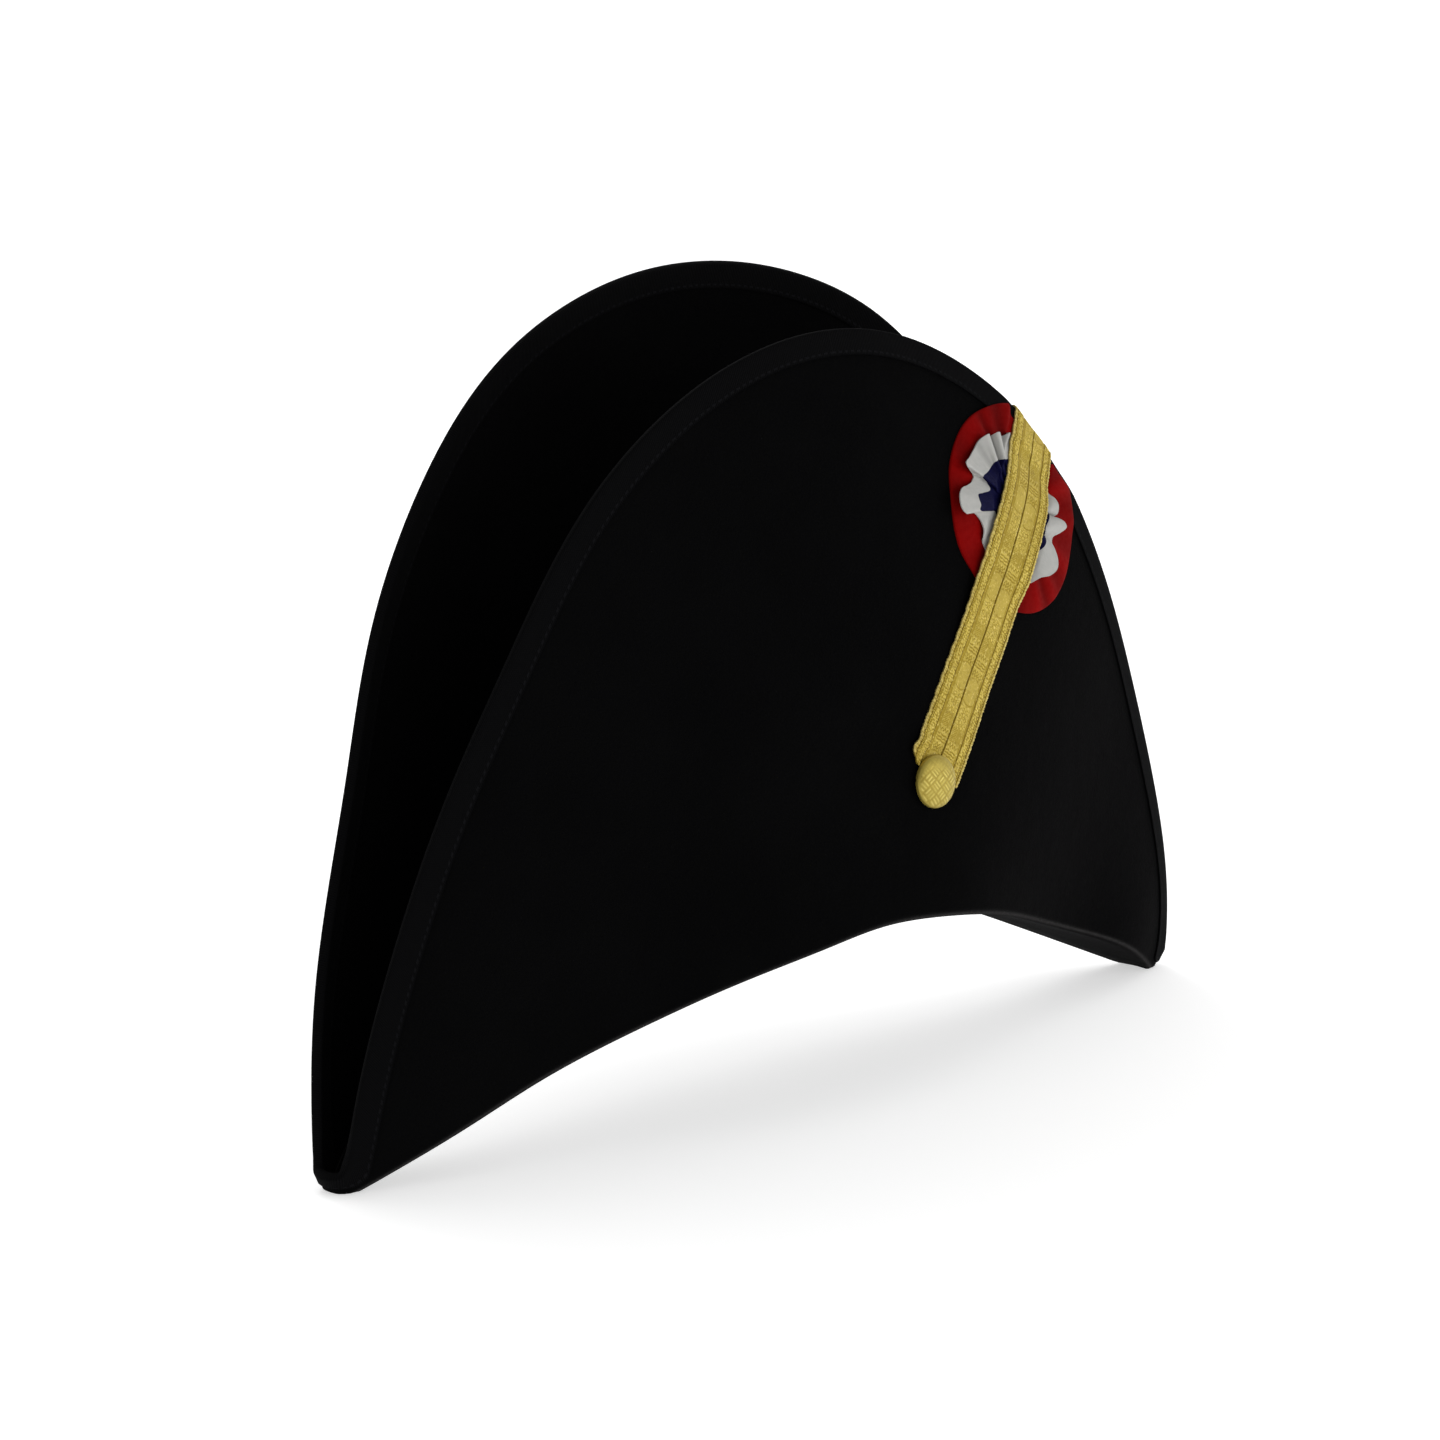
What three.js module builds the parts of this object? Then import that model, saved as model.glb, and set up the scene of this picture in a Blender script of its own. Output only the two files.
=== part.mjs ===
// A felt bicorne hat with a bound edge, a tricolour cockade, two runs of gold lace and a gold button.
// Millimetres, +Z up. X runs from point to point, the front flap faces -Y, and the hat stands on its points.
// The origin is on the surface that it stands on, midway between the points.

import * as THREE from "three";

// Felt
const WALL = 2.6;
const FLAP_BULGE = 7.5; // how far a flap's middle stands out from a straight line between fold and edge
const FOOT_PRESS = 3; // how much of each point's underside is pressed flat by the hat's weight
const CROWN_TOP = 192;
const CROWN_SQUARENESS = 2.6; // 2 is a plain dome, more is a squarer crown
const OPENING = { halfLength: 115, halfWidth: 64 }; // the oval that the head goes into
const OPENING_CORNER = 4; // how far the bend at the opening reaches each way
const FOLD_CORNER = 2.5; // how far the bend at the fold reaches each way
const SPAN = 217; // half the distance between the folds' ends
const END_BOW = { fold: 1.5, edge: 3, dip: 1 }; // the points' rounded ends in plan, and the dip of their edge

// Clearance between neighbouring pieces
const GAP = 0.35;
const BED_SLOPE = { from: 3, to: 13 }; // how far past the edge ribbon the trim comes down from it to the felt

// Trim
const BINDING = { thickness: 0.8, width: 9 };
const LACE = { thickness: 1, width: 14.6, end: 12 };
const BUTTON = { x: 21.4, z: 122.8, radius: 10.9, edge: 1.2, dome: 2.8, chamfer: 0.7 };
const STRAP = { x: 22, z: 124.7, alongX: 0.604, alongZ: 0.797 }; // where the lace's seam starts, and its course
const COCKADE = { x: 91.5, z: 217, radius: 42, eye: 3 };
const RED = { height: 2.2, rim: 1, pleats: 18, pleatDepth: 0.4 };
const RUFFLE = { reach: 31, lean: 4, blue: 22, wander: 1.5, folds: 12, rise: 3.5, sheet: 1, scallop: 3 };

// Where the lace lies on the cockade it presses it: thickness is each layer's, and at the hat's edge they are
// thinner. depth is how far from the edge they start to thin out.
const PRESSED = { thickness: 1, atEdge: 0.5, depth: 26 };

// How far inside the hat's edge the cockade's layers end, where they are free and where the lace presses them,
// and over what distance the lace comes down to the bed past a layer's end.
const MARGIN = { red: 3, redPressed: 6, ruffle: 6, rufflePressed: 12, lace: 4 };

// The lace's course over the cockade, by distance along it from the button: it rises, runs level and comes down.
const LIFT = { most: 3.5, rises: 50, level: 96, sinks: 112, down: 144 };

// Sections of the hat at even steps from its middle to a point. fold is the outer crease where the brim turns
// up; front and rear are the tops of the two flaps' bound edges. y is the distance from the middle plane.
const SECTIONS = [
  { fold: { x: 0, y: 72.5, z: 69 }, front: { x: 0, y: 41.5, z: 295 }, rear: { x: 0, y: 36.5, z: 316 } },
  { fold: { x: 36, y: 72.5, z: 66 }, front: { x: 60, y: 39, z: 281.5 }, rear: { x: 62, y: 34, z: 305.5 } },
  { fold: { x: 72.5, y: 62, z: 57.5 }, front: { x: 116.5, y: 37, z: 242.5 }, rear: { x: 118, y: 30.5, z: 271 } },
  { fold: { x: 108.5, y: 46.5, z: 45 }, front: { x: 155, y: 33, z: 188 }, rear: { x: 161.5, y: 27.5, z: 207.5 } },
  { fold: { x: 145, y: 34.5, z: 31.5 }, front: { x: 184, y: 24.5, z: 130.5 }, rear: { x: 185, y: 22, z: 143 } },
  { fold: { x: 181, y: 26.5, z: 16.5 }, front: { x: 210, y: 16.5, z: 59.5 }, rear: { x: 207.5, y: 15.5, z: 73.5 } },
  { fold: { x: SPAN, y: 6.5, z: -3.7 }, front: { x: 219.5, y: 9.5, z: 8 }, rear: { x: 219, y: 7.5, z: 8 } },
];

// Fineness of the meshes
const STEPS = { quarter: 13, end: 4, crown: 7, corner: 3, underside: 3, flap: 7, bound: 2 };
const LACE_STEPS = { run: 22, turn: 4, inside: 2 };
const ROUND_STEPS = { cockade: 72, button: 28, dome: 5 };

const FRONT = -1;
const REAR = 1;
const UP = new THREE.Vector3(0, 0, 1);

const mix = (a, b, k) => a + (b - a) * k;
const smooth = (from, to, value) => THREE.MathUtils.smoothstep(value, from, to);

// A smooth curve through values at even steps. The hat mirrors about its middle, so a depth or a height starts
// level there, and a width starts straight.
function throughSections(values, startsLevel) {
  const last = values.length - 1;
  const bend = new Array(last + 1).fill(0);
  const share = new Array(last + 1).fill(0);
  if (startsLevel) {
    share[0] = 0.5;
    bend[0] = 3 * (values[1] - values[0]);
  }
  for (let i = 1; i < last; i++) {
    const pivot = 4 - share[i - 1];
    share[i] = 1 / pivot;
    bend[i] = (6 * (values[i + 1] - 2 * values[i] + values[i - 1]) - bend[i - 1]) / pivot;
  }
  for (let i = last - 1; i >= 0; i--) bend[i] -= share[i] * bend[i + 1];
  return (station) => {
    const i = Math.min(last - 1, Math.max(0, Math.floor(station * last)));
    const b = station * last - i;
    const a = 1 - b;
    const straight = a * values[i] + b * values[i + 1];
    return straight + ((a * a * a - a) * bend[i] + (b * b * b - b) * bend[i + 1]) / 6;
  };
}

function sectionCurve(part) {
  const x = throughSections(SECTIONS.map((row) => row[part].x), false);
  const y = throughSections(SECTIONS.map((row) => row[part].y), true);
  const z = throughSections(SECTIONS.map((row) => row[part].z), true);
  const ground = SECTIONS.at(-1).fold.z + FOOT_PRESS;
  return (station) => new THREE.Vector3(x(station), y(station), z(station) - ground);
}

const foldCurve = sectionCurve("fold");
const edgeCurves = { [FRONT]: sectionCurve("front"), [REAR]: sectionCurve("rear") };

// The felt hangs together as lines from the crown's top to the edge. Each line has the point where it meets the
// oval opening, the fold and the edge, all in the middle of the felt's thickness.
function lineOf(fold, edge, openingAngle, outward, bulge) {
  const openingX = OPENING.halfLength * Math.sin(openingAngle);
  const openingY = -OPENING.halfWidth * Math.cos(openingAngle);
  const openingZ = foldCurve(Math.abs(openingX) / SPAN).z + WALL / 2;
  const creased = fold.clone().addScaledVector(outward, -WALL / 2).addScaledVector(UP, WALL / 2);
  const rise = edge.clone().sub(creased).normalize();
  const rim = edge.clone().addScaledVector(rise, -GAP - BINDING.thickness);
  return { opening: new THREE.Vector3(openingX, openingY, openingZ), fold: creased, rim, rise, bulge };
}

// The opening's oval is turned through faster near the middle, so that the lines leave it squarely.
const END_ANGLE = THREE.MathUtils.degToRad(84);
const openingAngleAt = (station) => END_ANGLE * station * (1.36 - 0.36 * station);

function flapLine(hand, side, station) {
  const place = (p) => new THREE.Vector3(hand * p.x, side * p.y, p.z);
  const turned = side === FRONT ? openingAngleAt(station) : Math.PI - openingAngleAt(station);
  const outward = new THREE.Vector3(0, side, 0);
  const bulge = outward.clone().multiplyScalar(4 * FLAP_BULGE * (1 - station * station));
  return lineOf(place(foldCurve(station)), place(edgeCurves[side](station)), hand * turned, outward, bulge);
}

// A line to the rounded end of a point. across runs from -1 at the front flap to 1 at the rear flap.
function endLine(hand, across) {
  const bow = 1 - across * across;
  const fold = foldCurve(1);
  const front = edgeCurves[FRONT](1);
  const rear = edgeCurves[REAR](1);
  const k = (across + 1) / 2;
  const foldEnd = new THREE.Vector3(hand * (fold.x + END_BOW.fold * bow), across * fold.y, fold.z);
  const edgeX = hand * (mix(front.x, rear.x, k) + END_BOW.edge * bow);
  const edgeEnd = new THREE.Vector3(edgeX, mix(-front.y, rear.y, k), mix(front.z, rear.z, k) - END_BOW.dip * bow);
  const swing = (across * Math.PI) / 2;
  const outward = new THREE.Vector3(hand * Math.cos(swing), Math.sin(swing), 0);
  const turned = mix(END_ANGLE, Math.PI - END_ANGLE, k);
  return lineOf(foldEnd, edgeEnd, hand * turned, outward, new THREE.Vector3());
}

// All lines in order, once round the hat from the middle of the front flap.
function hatLines() {
  const lines = [];
  const quarter = (hand, side, from, to) => {
    const step = Math.sign(to - from);
    for (let i = from; i !== to; i += step) lines.push(flapLine(hand, side, i / STEPS.quarter));
  };
  const end = (hand, from, to) => {
    const step = Math.sign(to - from);
    for (let i = from; i !== to; i += step) lines.push(endLine(hand, (2 * i) / STEPS.end - 1));
  };
  quarter(1, FRONT, 0, STEPS.quarter);
  end(1, 0, STEPS.end);
  quarter(1, REAR, STEPS.quarter, 0);
  quarter(-1, REAR, 0, STEPS.quarter);
  end(-1, STEPS.end, 0);
  quarter(-1, FRONT, STEPS.quarter, 0);
  lines.forEach((line, i) => {
    line.boundFrom = boundFrom(line, lines.at(i - 1), lines[(i + 1) % lines.length]);
  });
  return lines;
}

// The height on a flap where the edge ribbon starts. Its width is square to the edge, which the lines cross at
// a slant, and it stays clear of the bend at the fold and of the pressed felt in the points.
function boundFrom(line, before, after) {
  const edgeRun = after.rim.clone().sub(before.rim).normalize();
  const slant = edgeRun.cross(line.rise).length();
  const length = line.fold.distanceTo(line.rim);
  const aboveFold = length - foldReachOf(line) - GAP;
  const abovePoint = (line.rim.z - WALL - 2 * GAP) / line.rise.z;
  return 1 - Math.min(BINDING.width / slant, aboveFold, abovePoint) / length;
}

function foldReachOf(line) {
  const underLength = line.fold.distanceTo(line.opening);
  return Math.min(FOLD_CORNER, 0.42 * underLength, 0.45 * line.fold.distanceTo(line.rim));
}

// A point of a flap in the middle of the felt. height is 0 at the fold and 1 at the felt's edge.
function flapPoint(line, height) {
  const point = line.fold.clone().lerp(line.rim, height);
  return point.addScaledVector(line.bulge, height * (1 - height));
}

function crownPoint(line, share) {
  const angle = (share * Math.PI) / 2;
  const power = 2 / CROWN_SQUARENESS;
  const reach = Math.sin(angle) ** power;
  const rise = Math.cos(angle) ** power;
  const z = mix(line.opening.z, CROWN_TOP, rise);
  return new THREE.Vector3(line.opening.x * reach, line.opening.y * reach, z);
}

// A rounded bend from one point to another, drawn towards the corner between them.
function bend(from, corner, to) {
  const curve = new THREE.QuadraticBezierCurve3(from, corner, to);
  return curve.getPoints(STEPS.corner);
}

function pointsAlong(line) {
  const under = line.fold.clone().sub(line.opening);
  const openingReach = Math.min(OPENING_CORNER, 0.42 * under.length());
  const foldReach = foldReachOf(line);
  under.normalize();
  const points = [];
  for (let i = 1; i < STEPS.crown; i++) points.push(crownPoint(line, i / STEPS.crown));
  const wallFoot = line.opening.clone().addScaledVector(UP, openingReach);
  const underStart = line.opening.clone().addScaledVector(under, openingReach);
  const underEnd = line.fold.clone().addScaledVector(under, -foldReach);
  const flapFoot = foldReach / line.fold.distanceTo(line.rim);
  points.push(...bend(wallFoot, line.opening, underStart));
  for (let i = 1; i < STEPS.underside; i++) points.push(underStart.clone().lerp(underEnd, i / STEPS.underside));
  points.push(...bend(underEnd, line.fold, flapPoint(line, flapFoot)));
  for (let i = 1; i <= STEPS.flap; i++) points.push(flapPoint(line, mix(flapFoot, line.boundFrom, i / STEPS.flap)));
  for (let i = 1; i <= STEPS.bound; i++) points.push(flapPoint(line, mix(line.boundFrom, 1, i / STEPS.bound)));
  return points;
}

// A mesh under construction: points and faces that wind counter-clockwise seen from outside.
class Shell {
  constructor() {
    this.points = [];
    this.faces = [];
  }
  point(p) {
    return this.points.push(p) - 1;
  }
  face(a, b, c) {
    this.faces.push(a, b, c);
  }
  quad(a, b, c, d) {
    const p = this.points;
    if (p[a].distanceToSquared(p[c]) <= p[b].distanceToSquared(p[d])) {
      this.face(a, b, c);
      this.face(a, c, d);
    } else {
      this.face(a, b, d);
      this.face(b, c, d);
    }
  }
  // Quads between two rings of equal length, with the first ring on the left of the direction of travel.
  band(left, right, closed) {
    const count = left.length;
    for (let i = 0; i < (closed ? count : count - 1); i++) {
      const next = (i + 1) % count;
      this.quad(left[i], right[i], right[next], left[next]);
    }
  }
  geometry() {
    const geometry = new THREE.BufferGeometry().setFromPoints(this.points);
    geometry.setIndex(this.faces);
    geometry.computeVertexNormals();
    return geometry;
  }
}

// The felt's middle surface as a grid of rows round the hat, with the direction out of its upper side.
function feltGrid(lines) {
  const columns = lines.map(pointsAlong);
  const rows = columns[0].map((_, r) => columns.map((column) => column[r]));
  const count = lines.length;
  const normals = rows.map((row, r) =>
    row.map((_, c) => {
      const down = rows[Math.min(r + 1, rows.length - 1)][c].clone().sub(rows[Math.max(r - 1, 0)][c]);
      const along = row[(c + 1) % count].clone().sub(row[(c + count - 1) % count]);
      return down.cross(along).normalize();
    }),
  );
  return { rows, normals };
}

// The felt has an upper side, which becomes the inside of the flaps, and an under side, which becomes their
// outside. The points' undersides are pressed flat where the hat stands.
function feltBody({ rows, normals }) {
  const shell = new Shell();
  const layer = (offset, floor) =>
    rows.map((row, r) =>
      row.map((p, c) => {
        const q = p.clone().addScaledVector(normals[r][c], offset);
        q.z = Math.max(q.z, floor);
        return shell.point(q);
      }),
    );
  const upper = layer(WALL / 2, WALL);
  const under = layer(-WALL / 2, 0);
  const upperTop = shell.point(new THREE.Vector3(0, 0, CROWN_TOP + WALL / 2));
  const underTop = shell.point(new THREE.Vector3(0, 0, CROWN_TOP - WALL / 2));
  const count = rows[0].length;
  for (let c = 0; c < count; c++) {
    const next = (c + 1) % count;
    shell.face(upperTop, upper[0][c], upper[0][next]);
    shell.face(underTop, under[0][next], under[0][c]);
  }
  for (let r = 0; r + 1 < rows.length; r++) {
    shell.band(upper[r], upper[r + 1], true);
    shell.band(under[r + 1], under[r], true);
  }
  shell.band(upper.at(-1), under.at(-1), true);
  return shell.geometry();
}

// The ribbon folded over the edge: a U in section, with one leg on each side of the felt.
function edgeBinding(lines, { rows, normals }) {
  const shell = new Shell();
  const inner = WALL / 2 + GAP;
  const outer = inner + BINDING.thickness;
  const last = rows.length - 1;
  const rings = lines.map((line, c) => {
    const at = (back, offset) => rows[last - back][c].clone().addScaledVector(normals[last - back][c], offset);
    const above = (rise, offset) => at(0, offset).addScaledVector(line.rise, rise);
    const leg = (offset) => Array.from({ length: STEPS.bound }, (_, i) => at(STEPS.bound - i, offset));
    const section = [
      ...leg(-outer),
      above(GAP, -outer),
      above(GAP + BINDING.thickness, 0),
      above(GAP, outer),
      ...leg(outer).reverse(),
      ...leg(inner),
      above(GAP, inner),
      above(GAP, -inner),
      ...leg(-inner).reverse(),
    ];
    return section.map((p) => shell.point(p));
  });
  rings.forEach((ring, c) => shell.band(ring, rings[(c + 1) % rings.length], true));
  return shell.geometry();
}

// Where a trim piece at a given x and z meets the front flap, in the middle of the felt.
function onFrontFlap(x, z) {
  const at = (station, height) => flapPoint(flapLine(1, FRONT, station), height);
  let station = x / SPAN;
  let height = 0.5;
  const step = 1e-4;
  for (let i = 0; i < 12; i++) {
    const p = at(station, height);
    const byStation = at(station + step, height).sub(p).divideScalar(step);
    const byHeight = at(station, height + step).sub(p).divideScalar(step);
    const determinant = byStation.x * byHeight.z - byStation.z * byHeight.x;
    const missX = x - p.x;
    const missZ = z - p.z;
    station += (missX * byHeight.z - missZ * byHeight.x) / determinant;
    height += (missZ * byStation.x - missX * byStation.z) / determinant;
  }
  const point = at(station, height);
  const byStation = at(station + step, height).sub(point);
  const byHeight = at(station, height + step).sub(point);
  const line = flapLine(1, FRONT, station);
  const outward = byStation.cross(byHeight).normalize();
  return { point, outward, height, line, toEdge: (1 - height) * line.fold.distanceTo(line.rim) };
}

// How far above the middle of the felt a trim piece can lie, clear of the felt and of the bound edge.
function bedHeight(place) {
  const overBinding = 1 - smooth(BINDING.width + BED_SLOPE.from, BINDING.width + BED_SLOPE.to, place.toEdge);
  return WALL / 2 + GAP + overBinding * (BINDING.thickness + GAP);
}

// Places on the lace's course: along from the button, across to its right side.
function strapPlace(along, across) {
  const x = STRAP.x + STRAP.alongX * along + STRAP.alongZ * across;
  const z = STRAP.z + STRAP.alongZ * along - STRAP.alongX * across;
  return { x, z };
}

function acrossStrap(x, z) {
  return (x - STRAP.x) * STRAP.alongZ - (z - STRAP.z) * STRAP.alongX;
}

// 1 where the lace presses the cockade, 0 where the cockade is free.
const PRESS_REACH = LACE.width + 3.5;
const pressedAt = (x, z) => 1 - smooth(PRESS_REACH, PRESS_REACH + 5, Math.abs(acrossStrap(x, z)));

// The cockade is worked out round its centre, on the flap's own surface.
const cockadeSeat = onFrontFlap(COCKADE.x, COCKADE.z);
const cockadeSide = UP.clone().cross(cockadeSeat.outward).normalize().negate();
const cockadeDown = cockadeSide.clone().cross(cockadeSeat.outward).normalize().negate();

function cockadePlace(radius, angle) {
  const p = cockadeSeat.point.clone();
  p.addScaledVector(cockadeSide, radius * Math.cos(angle));
  p.addScaledVector(cockadeDown, radius * Math.sin(angle));
  const place = onFrontFlap(p.x, p.z);
  place.pressed = pressedAt(p.x, p.z);
  return place;
}

const raised = (place, height) => place.point.clone().addScaledVector(place.outward, bedHeight(place) + height);

// The radius, at most the one wanted, at which a cockade piece still lies clear of the hat's edge. The lace
// comes down to the edge, so under it a piece ends sooner.
function radiusWithin(wanted, angle, freeMargin, pressedMargin) {
  let radius = wanted;
  const clear = (place) => place.toEdge >= mix(freeMargin, pressedMargin, place.pressed);
  while (!clear(cockadePlace(radius, angle))) radius -= 0.5;
  return radius;
}

// The thickness of one layer of the cockade under the lace.
function pressedLayer(place) {
  return mix(PRESSED.atEdge, PRESSED.thickness, THREE.MathUtils.clamp(place.toEdge / PRESSED.depth, 0, 1));
}

function redTop(place, share, angle) {
  const pleat = RED.pleatDepth * Math.cos(RED.pleats * angle) * share;
  const rounding = Math.sqrt(Math.max(0, 1 - share ** 8));
  return mix(mix(RED.rim, RED.height + pleat, rounding), pressedLayer(place), place.pressed);
}

// A disc or ring round the cockade's centre. surface(ring, angle) gives a column's lower and upper points.
function roundPiece(rings, surface) {
  const shell = new Shell();
  const lower = [];
  const upper = [];
  for (const ring of rings) {
    const count = ROUND_STEPS.cockade;
    const columns = Array.from({ length: count }, (_, i) => surface(ring, (2 * Math.PI * i) / count));
    lower.push(columns.map((column) => shell.point(column.lower)));
    upper.push(columns.map((column) => shell.point(column.upper)));
  }
  for (let r = 0; r + 1 < rings.length; r++) {
    shell.band(upper[r], upper[r + 1], true);
    shell.band(lower[r + 1], lower[r], true);
  }
  shell.band(upper.at(-1), lower.at(-1), true);
  return { shell, lower: lower[0], upper: upper[0] };
}

function closeMiddle(shell, lower, upper, middle) {
  const top = shell.point(middle.upper);
  const bottom = shell.point(middle.lower);
  const count = upper.length;
  for (let i = 0; i < count; i++) {
    const next = (i + 1) % count;
    shell.face(top, upper[i], upper[next]);
    shell.face(bottom, lower[next], lower[i]);
  }
}

function cockadeRed() {
  const radii = new Map();
  const surface = (share, angle) => {
    if (!radii.has(angle)) radii.set(angle, radiusWithin(COCKADE.radius, angle, MARGIN.red, MARGIN.redPressed));
    const place = cockadePlace(share * radii.get(angle), angle);
    return { lower: raised(place, 0), upper: raised(place, redTop(place, share, angle)) };
  };
  const { shell, lower, upper } = roundPiece([0.3, 0.44, 0.58, 0.82, 1], surface);
  closeMiddle(shell, lower, upper, surface(0, 0));
  return shell.geometry();
}

// The ruffle stands in folds that grow outwards, and lies flat under the lace.
function ruffleColumn(radius, angle) {
  const place = cockadePlace(radius, angle);
  const fold = 0.5 - 0.5 * Math.cos(RUFFLE.folds * angle);
  const free = RED.pleatDepth + (RUFFLE.rise * fold * radius) / RUFFLE.reach;
  const low = redTop(place, radius / COCKADE.radius, angle) + GAP + free * (1 - place.pressed);
  const thickness = mix(RUFFLE.sheet, pressedLayer(place), place.pressed);
  return { lower: raised(place, low), upper: raised(place, low + thickness) };
}

// The ruffle reaches further on its left, and its edge waves with the folds.
function ruffleEdge(angle) {
  const scallop = RUFFLE.scallop * Math.cos(RUFFLE.folds * angle + 0.8);
  const place = cockadePlace(RUFFLE.reach, angle);
  const reach = RUFFLE.reach + (scallop + RUFFLE.lean * Math.cos(angle)) * (1 - place.pressed);
  return radiusWithin(reach, angle, MARGIN.ruffle, MARGIN.rufflePressed);
}

function ruffleRing(radiusAt) {
  const surface = (share, angle) => ruffleColumn(radiusAt(share, angle), angle);
  const { shell, lower, upper } = roundPiece([0, 0.5, 1], surface);
  shell.band(lower, upper, true);
  return shell.geometry();
}

// The border between white and blue wanders with the folds.
function ruffleBorder(angle) {
  const wander = RUFFLE.wander * Math.cos(RUFFLE.folds * angle + 2);
  return RUFFLE.blue + wander * (1 - cockadePlace(RUFFLE.blue, angle).pressed);
}

const cockadeWhite = () =>
  ruffleRing((share, angle) => mix(ruffleBorder(angle) + GAP, ruffleEdge(angle), share));
const cockadeBlue = () => ruffleRing((share, angle) => mix(COCKADE.eye, ruffleBorder(angle), share));

// How far the lace's underside lies above its bed. It clears the layers of the cockade under it.
function laceLift(place, along) {
  const carried = smooth(LIFT.rises, LIFT.level, along) * (1 - smooth(LIFT.sinks, LIFT.down, along));
  const fromMiddle = Math.hypot(place.point.x - COCKADE.x, place.point.z - COCKADE.z);
  const over = (radius, end) => {
    const within = 1 - smooth(radius, radius + MARGIN.lace, fromMiddle);
    return within * smooth(end - MARGIN.lace, end, place.toEdge);
  };
  const layers = over(COCKADE.radius, MARGIN.redPressed) + over(RUFFLE.reach, MARGIN.rufflePressed);
  return Math.max(LIFT.most * carried, layers * (pressedLayer(place) + GAP));
}

// How far along its course a strand of the lace meets the hat's edge.
function alongAtEdge(across) {
  let near = LIFT.sinks;
  let far = LIFT.down + COCKADE.radius;
  for (let i = 0; i < 24; i++) {
    const middle = (near + far) / 2;
    const { x, z } = strapPlace(middle, across);
    if (onFrontFlap(x, z).height < 1) near = middle;
    else far = middle;
  }
  return near;
}

// One strand of the lace, as matching points of its under and upper sides: up the flap, over the edge and
// down the inside.
function laceStrand(across, start) {
  const end = alongAtEdge(across);
  const pairs = [];
  for (let i = 0; i <= LACE_STEPS.run; i++) {
    const closing = (1 - i / LACE_STEPS.run) ** 1.5; // closer steps near the edge
    const along = mix(end, start, closing);
    const { x, z } = strapPlace(along, across);
    const place = onFrontFlap(x, z);
    const lift = laceLift(place, along);
    pairs.push({ under: raised(place, lift), upper: raised(place, lift + LACE.thickness) });
  }
  const edge = strapPlace(end, across);
  const place = onFrontFlap(edge.x, edge.z);
  const outside = bedHeight(place) + laceLift(place, end);
  const inside = bedHeight(place);
  const top = 2 * GAP + BINDING.thickness + GAP;
  const middle = (outside - inside) / 2;
  const reach = (outside + inside) / 2;
  const rise = place.line.rise;
  const at = (offset, up) => place.point.clone().addScaledVector(place.outward, offset).addScaledVector(rise, up);
  for (let i = 1; i <= LACE_STEPS.turn; i++) {
    const angle = (Math.PI * i) / LACE_STEPS.turn;
    const turn = (extra) => at(middle + (reach + extra) * Math.cos(angle), (top + extra) * Math.sin(angle));
    pairs.push({ under: turn(0), upper: turn(LACE.thickness) });
  }
  for (let i = 1; i <= LACE_STEPS.inside; i++) {
    const drop = (-LACE.end * i) / LACE_STEPS.inside;
    pairs.push({ under: at(-inside, drop), upper: at(-inside - LACE.thickness, drop) });
  }
  return pairs;
}

// One run of the lace, from the strands along its left edge, middle and right edge.
function laceRun(strands) {
  const shell = new Shell();
  const under = strands.map((strand) => strand.map((pair) => shell.point(pair.under)));
  const upper = strands.map((strand) => strand.map((pair) => shell.point(pair.upper)));
  const around = [...upper, ...under.reverse()];
  around.forEach((strand, i) => shell.band(strand, around[(i + 1) % around.length], false));
  const first = around.map((strand) => strand[0]);
  const last = around.map((strand) => strand.at(-1));
  const [upperLeft, upperMiddle, upperRight, underRight, underMiddle, underLeft] = first;
  shell.quad(upperLeft, underLeft, underMiddle, upperMiddle);
  shell.quad(upperMiddle, underMiddle, underRight, upperRight);
  shell.quad(last[0], last[1], last[4], last[5]);
  shell.quad(last[1], last[2], last[3], last[4]);
  return shell.geometry();
}

function goldLace(hand) {
  const nearSeam = (hand * GAP) / 2;
  const farEdge = hand * (GAP / 2 + LACE.width);
  const strands = [nearSeam, (nearSeam + farEdge) / 2, farEdge].map((across) => laceStrand(across, 2));
  return laceRun(hand < 0 ? strands.reverse() : strands);
}

// The button's section, turned about its own axis: a flat back, a short straight edge and a gentle dome.
function buttonShape() {
  const { radius, edge, dome, chamfer } = BUTTON;
  const profile = [new THREE.Vector2(0, 0), new THREE.Vector2(radius - chamfer, 0)];
  profile.push(new THREE.Vector2(radius, chamfer));
  for (let i = 0; i <= ROUND_STEPS.dome; i++) {
    const angle = (Math.PI / 2) * (i / ROUND_STEPS.dome);
    profile.push(new THREE.Vector2(radius * Math.cos(angle), edge + dome * Math.sin(angle)));
  }
  profile.at(-1).x = 0;
  return new THREE.LatheGeometry(profile, ROUND_STEPS.button);
}

const COLOURS = { felt: 0x0b0b0d, binding: 0x131316, red: 0xa60c10, white: 0xe6e8ec, blue: 0x14145a, gold: 0xc9a532 };

function material(color, roughness, metalness) {
  return new THREE.MeshStandardMaterial({ color, roughness, metalness });
}

function piece(name, geometry, look) {
  const mesh = new THREE.Mesh(geometry, look);
  mesh.name = name;
  return mesh;
}

function button() {
  const mesh = piece("button", buttonShape(), material(COLOURS.gold, 0.4, 0.8));
  const seat = onFrontFlap(BUTTON.x, BUTTON.z);
  mesh.position.copy(raised(seat, LACE.thickness + 2 * GAP));
  mesh.quaternion.setFromUnitVectors(new THREE.Vector3(0, 1, 0), seat.outward);
  return mesh;
}

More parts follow.
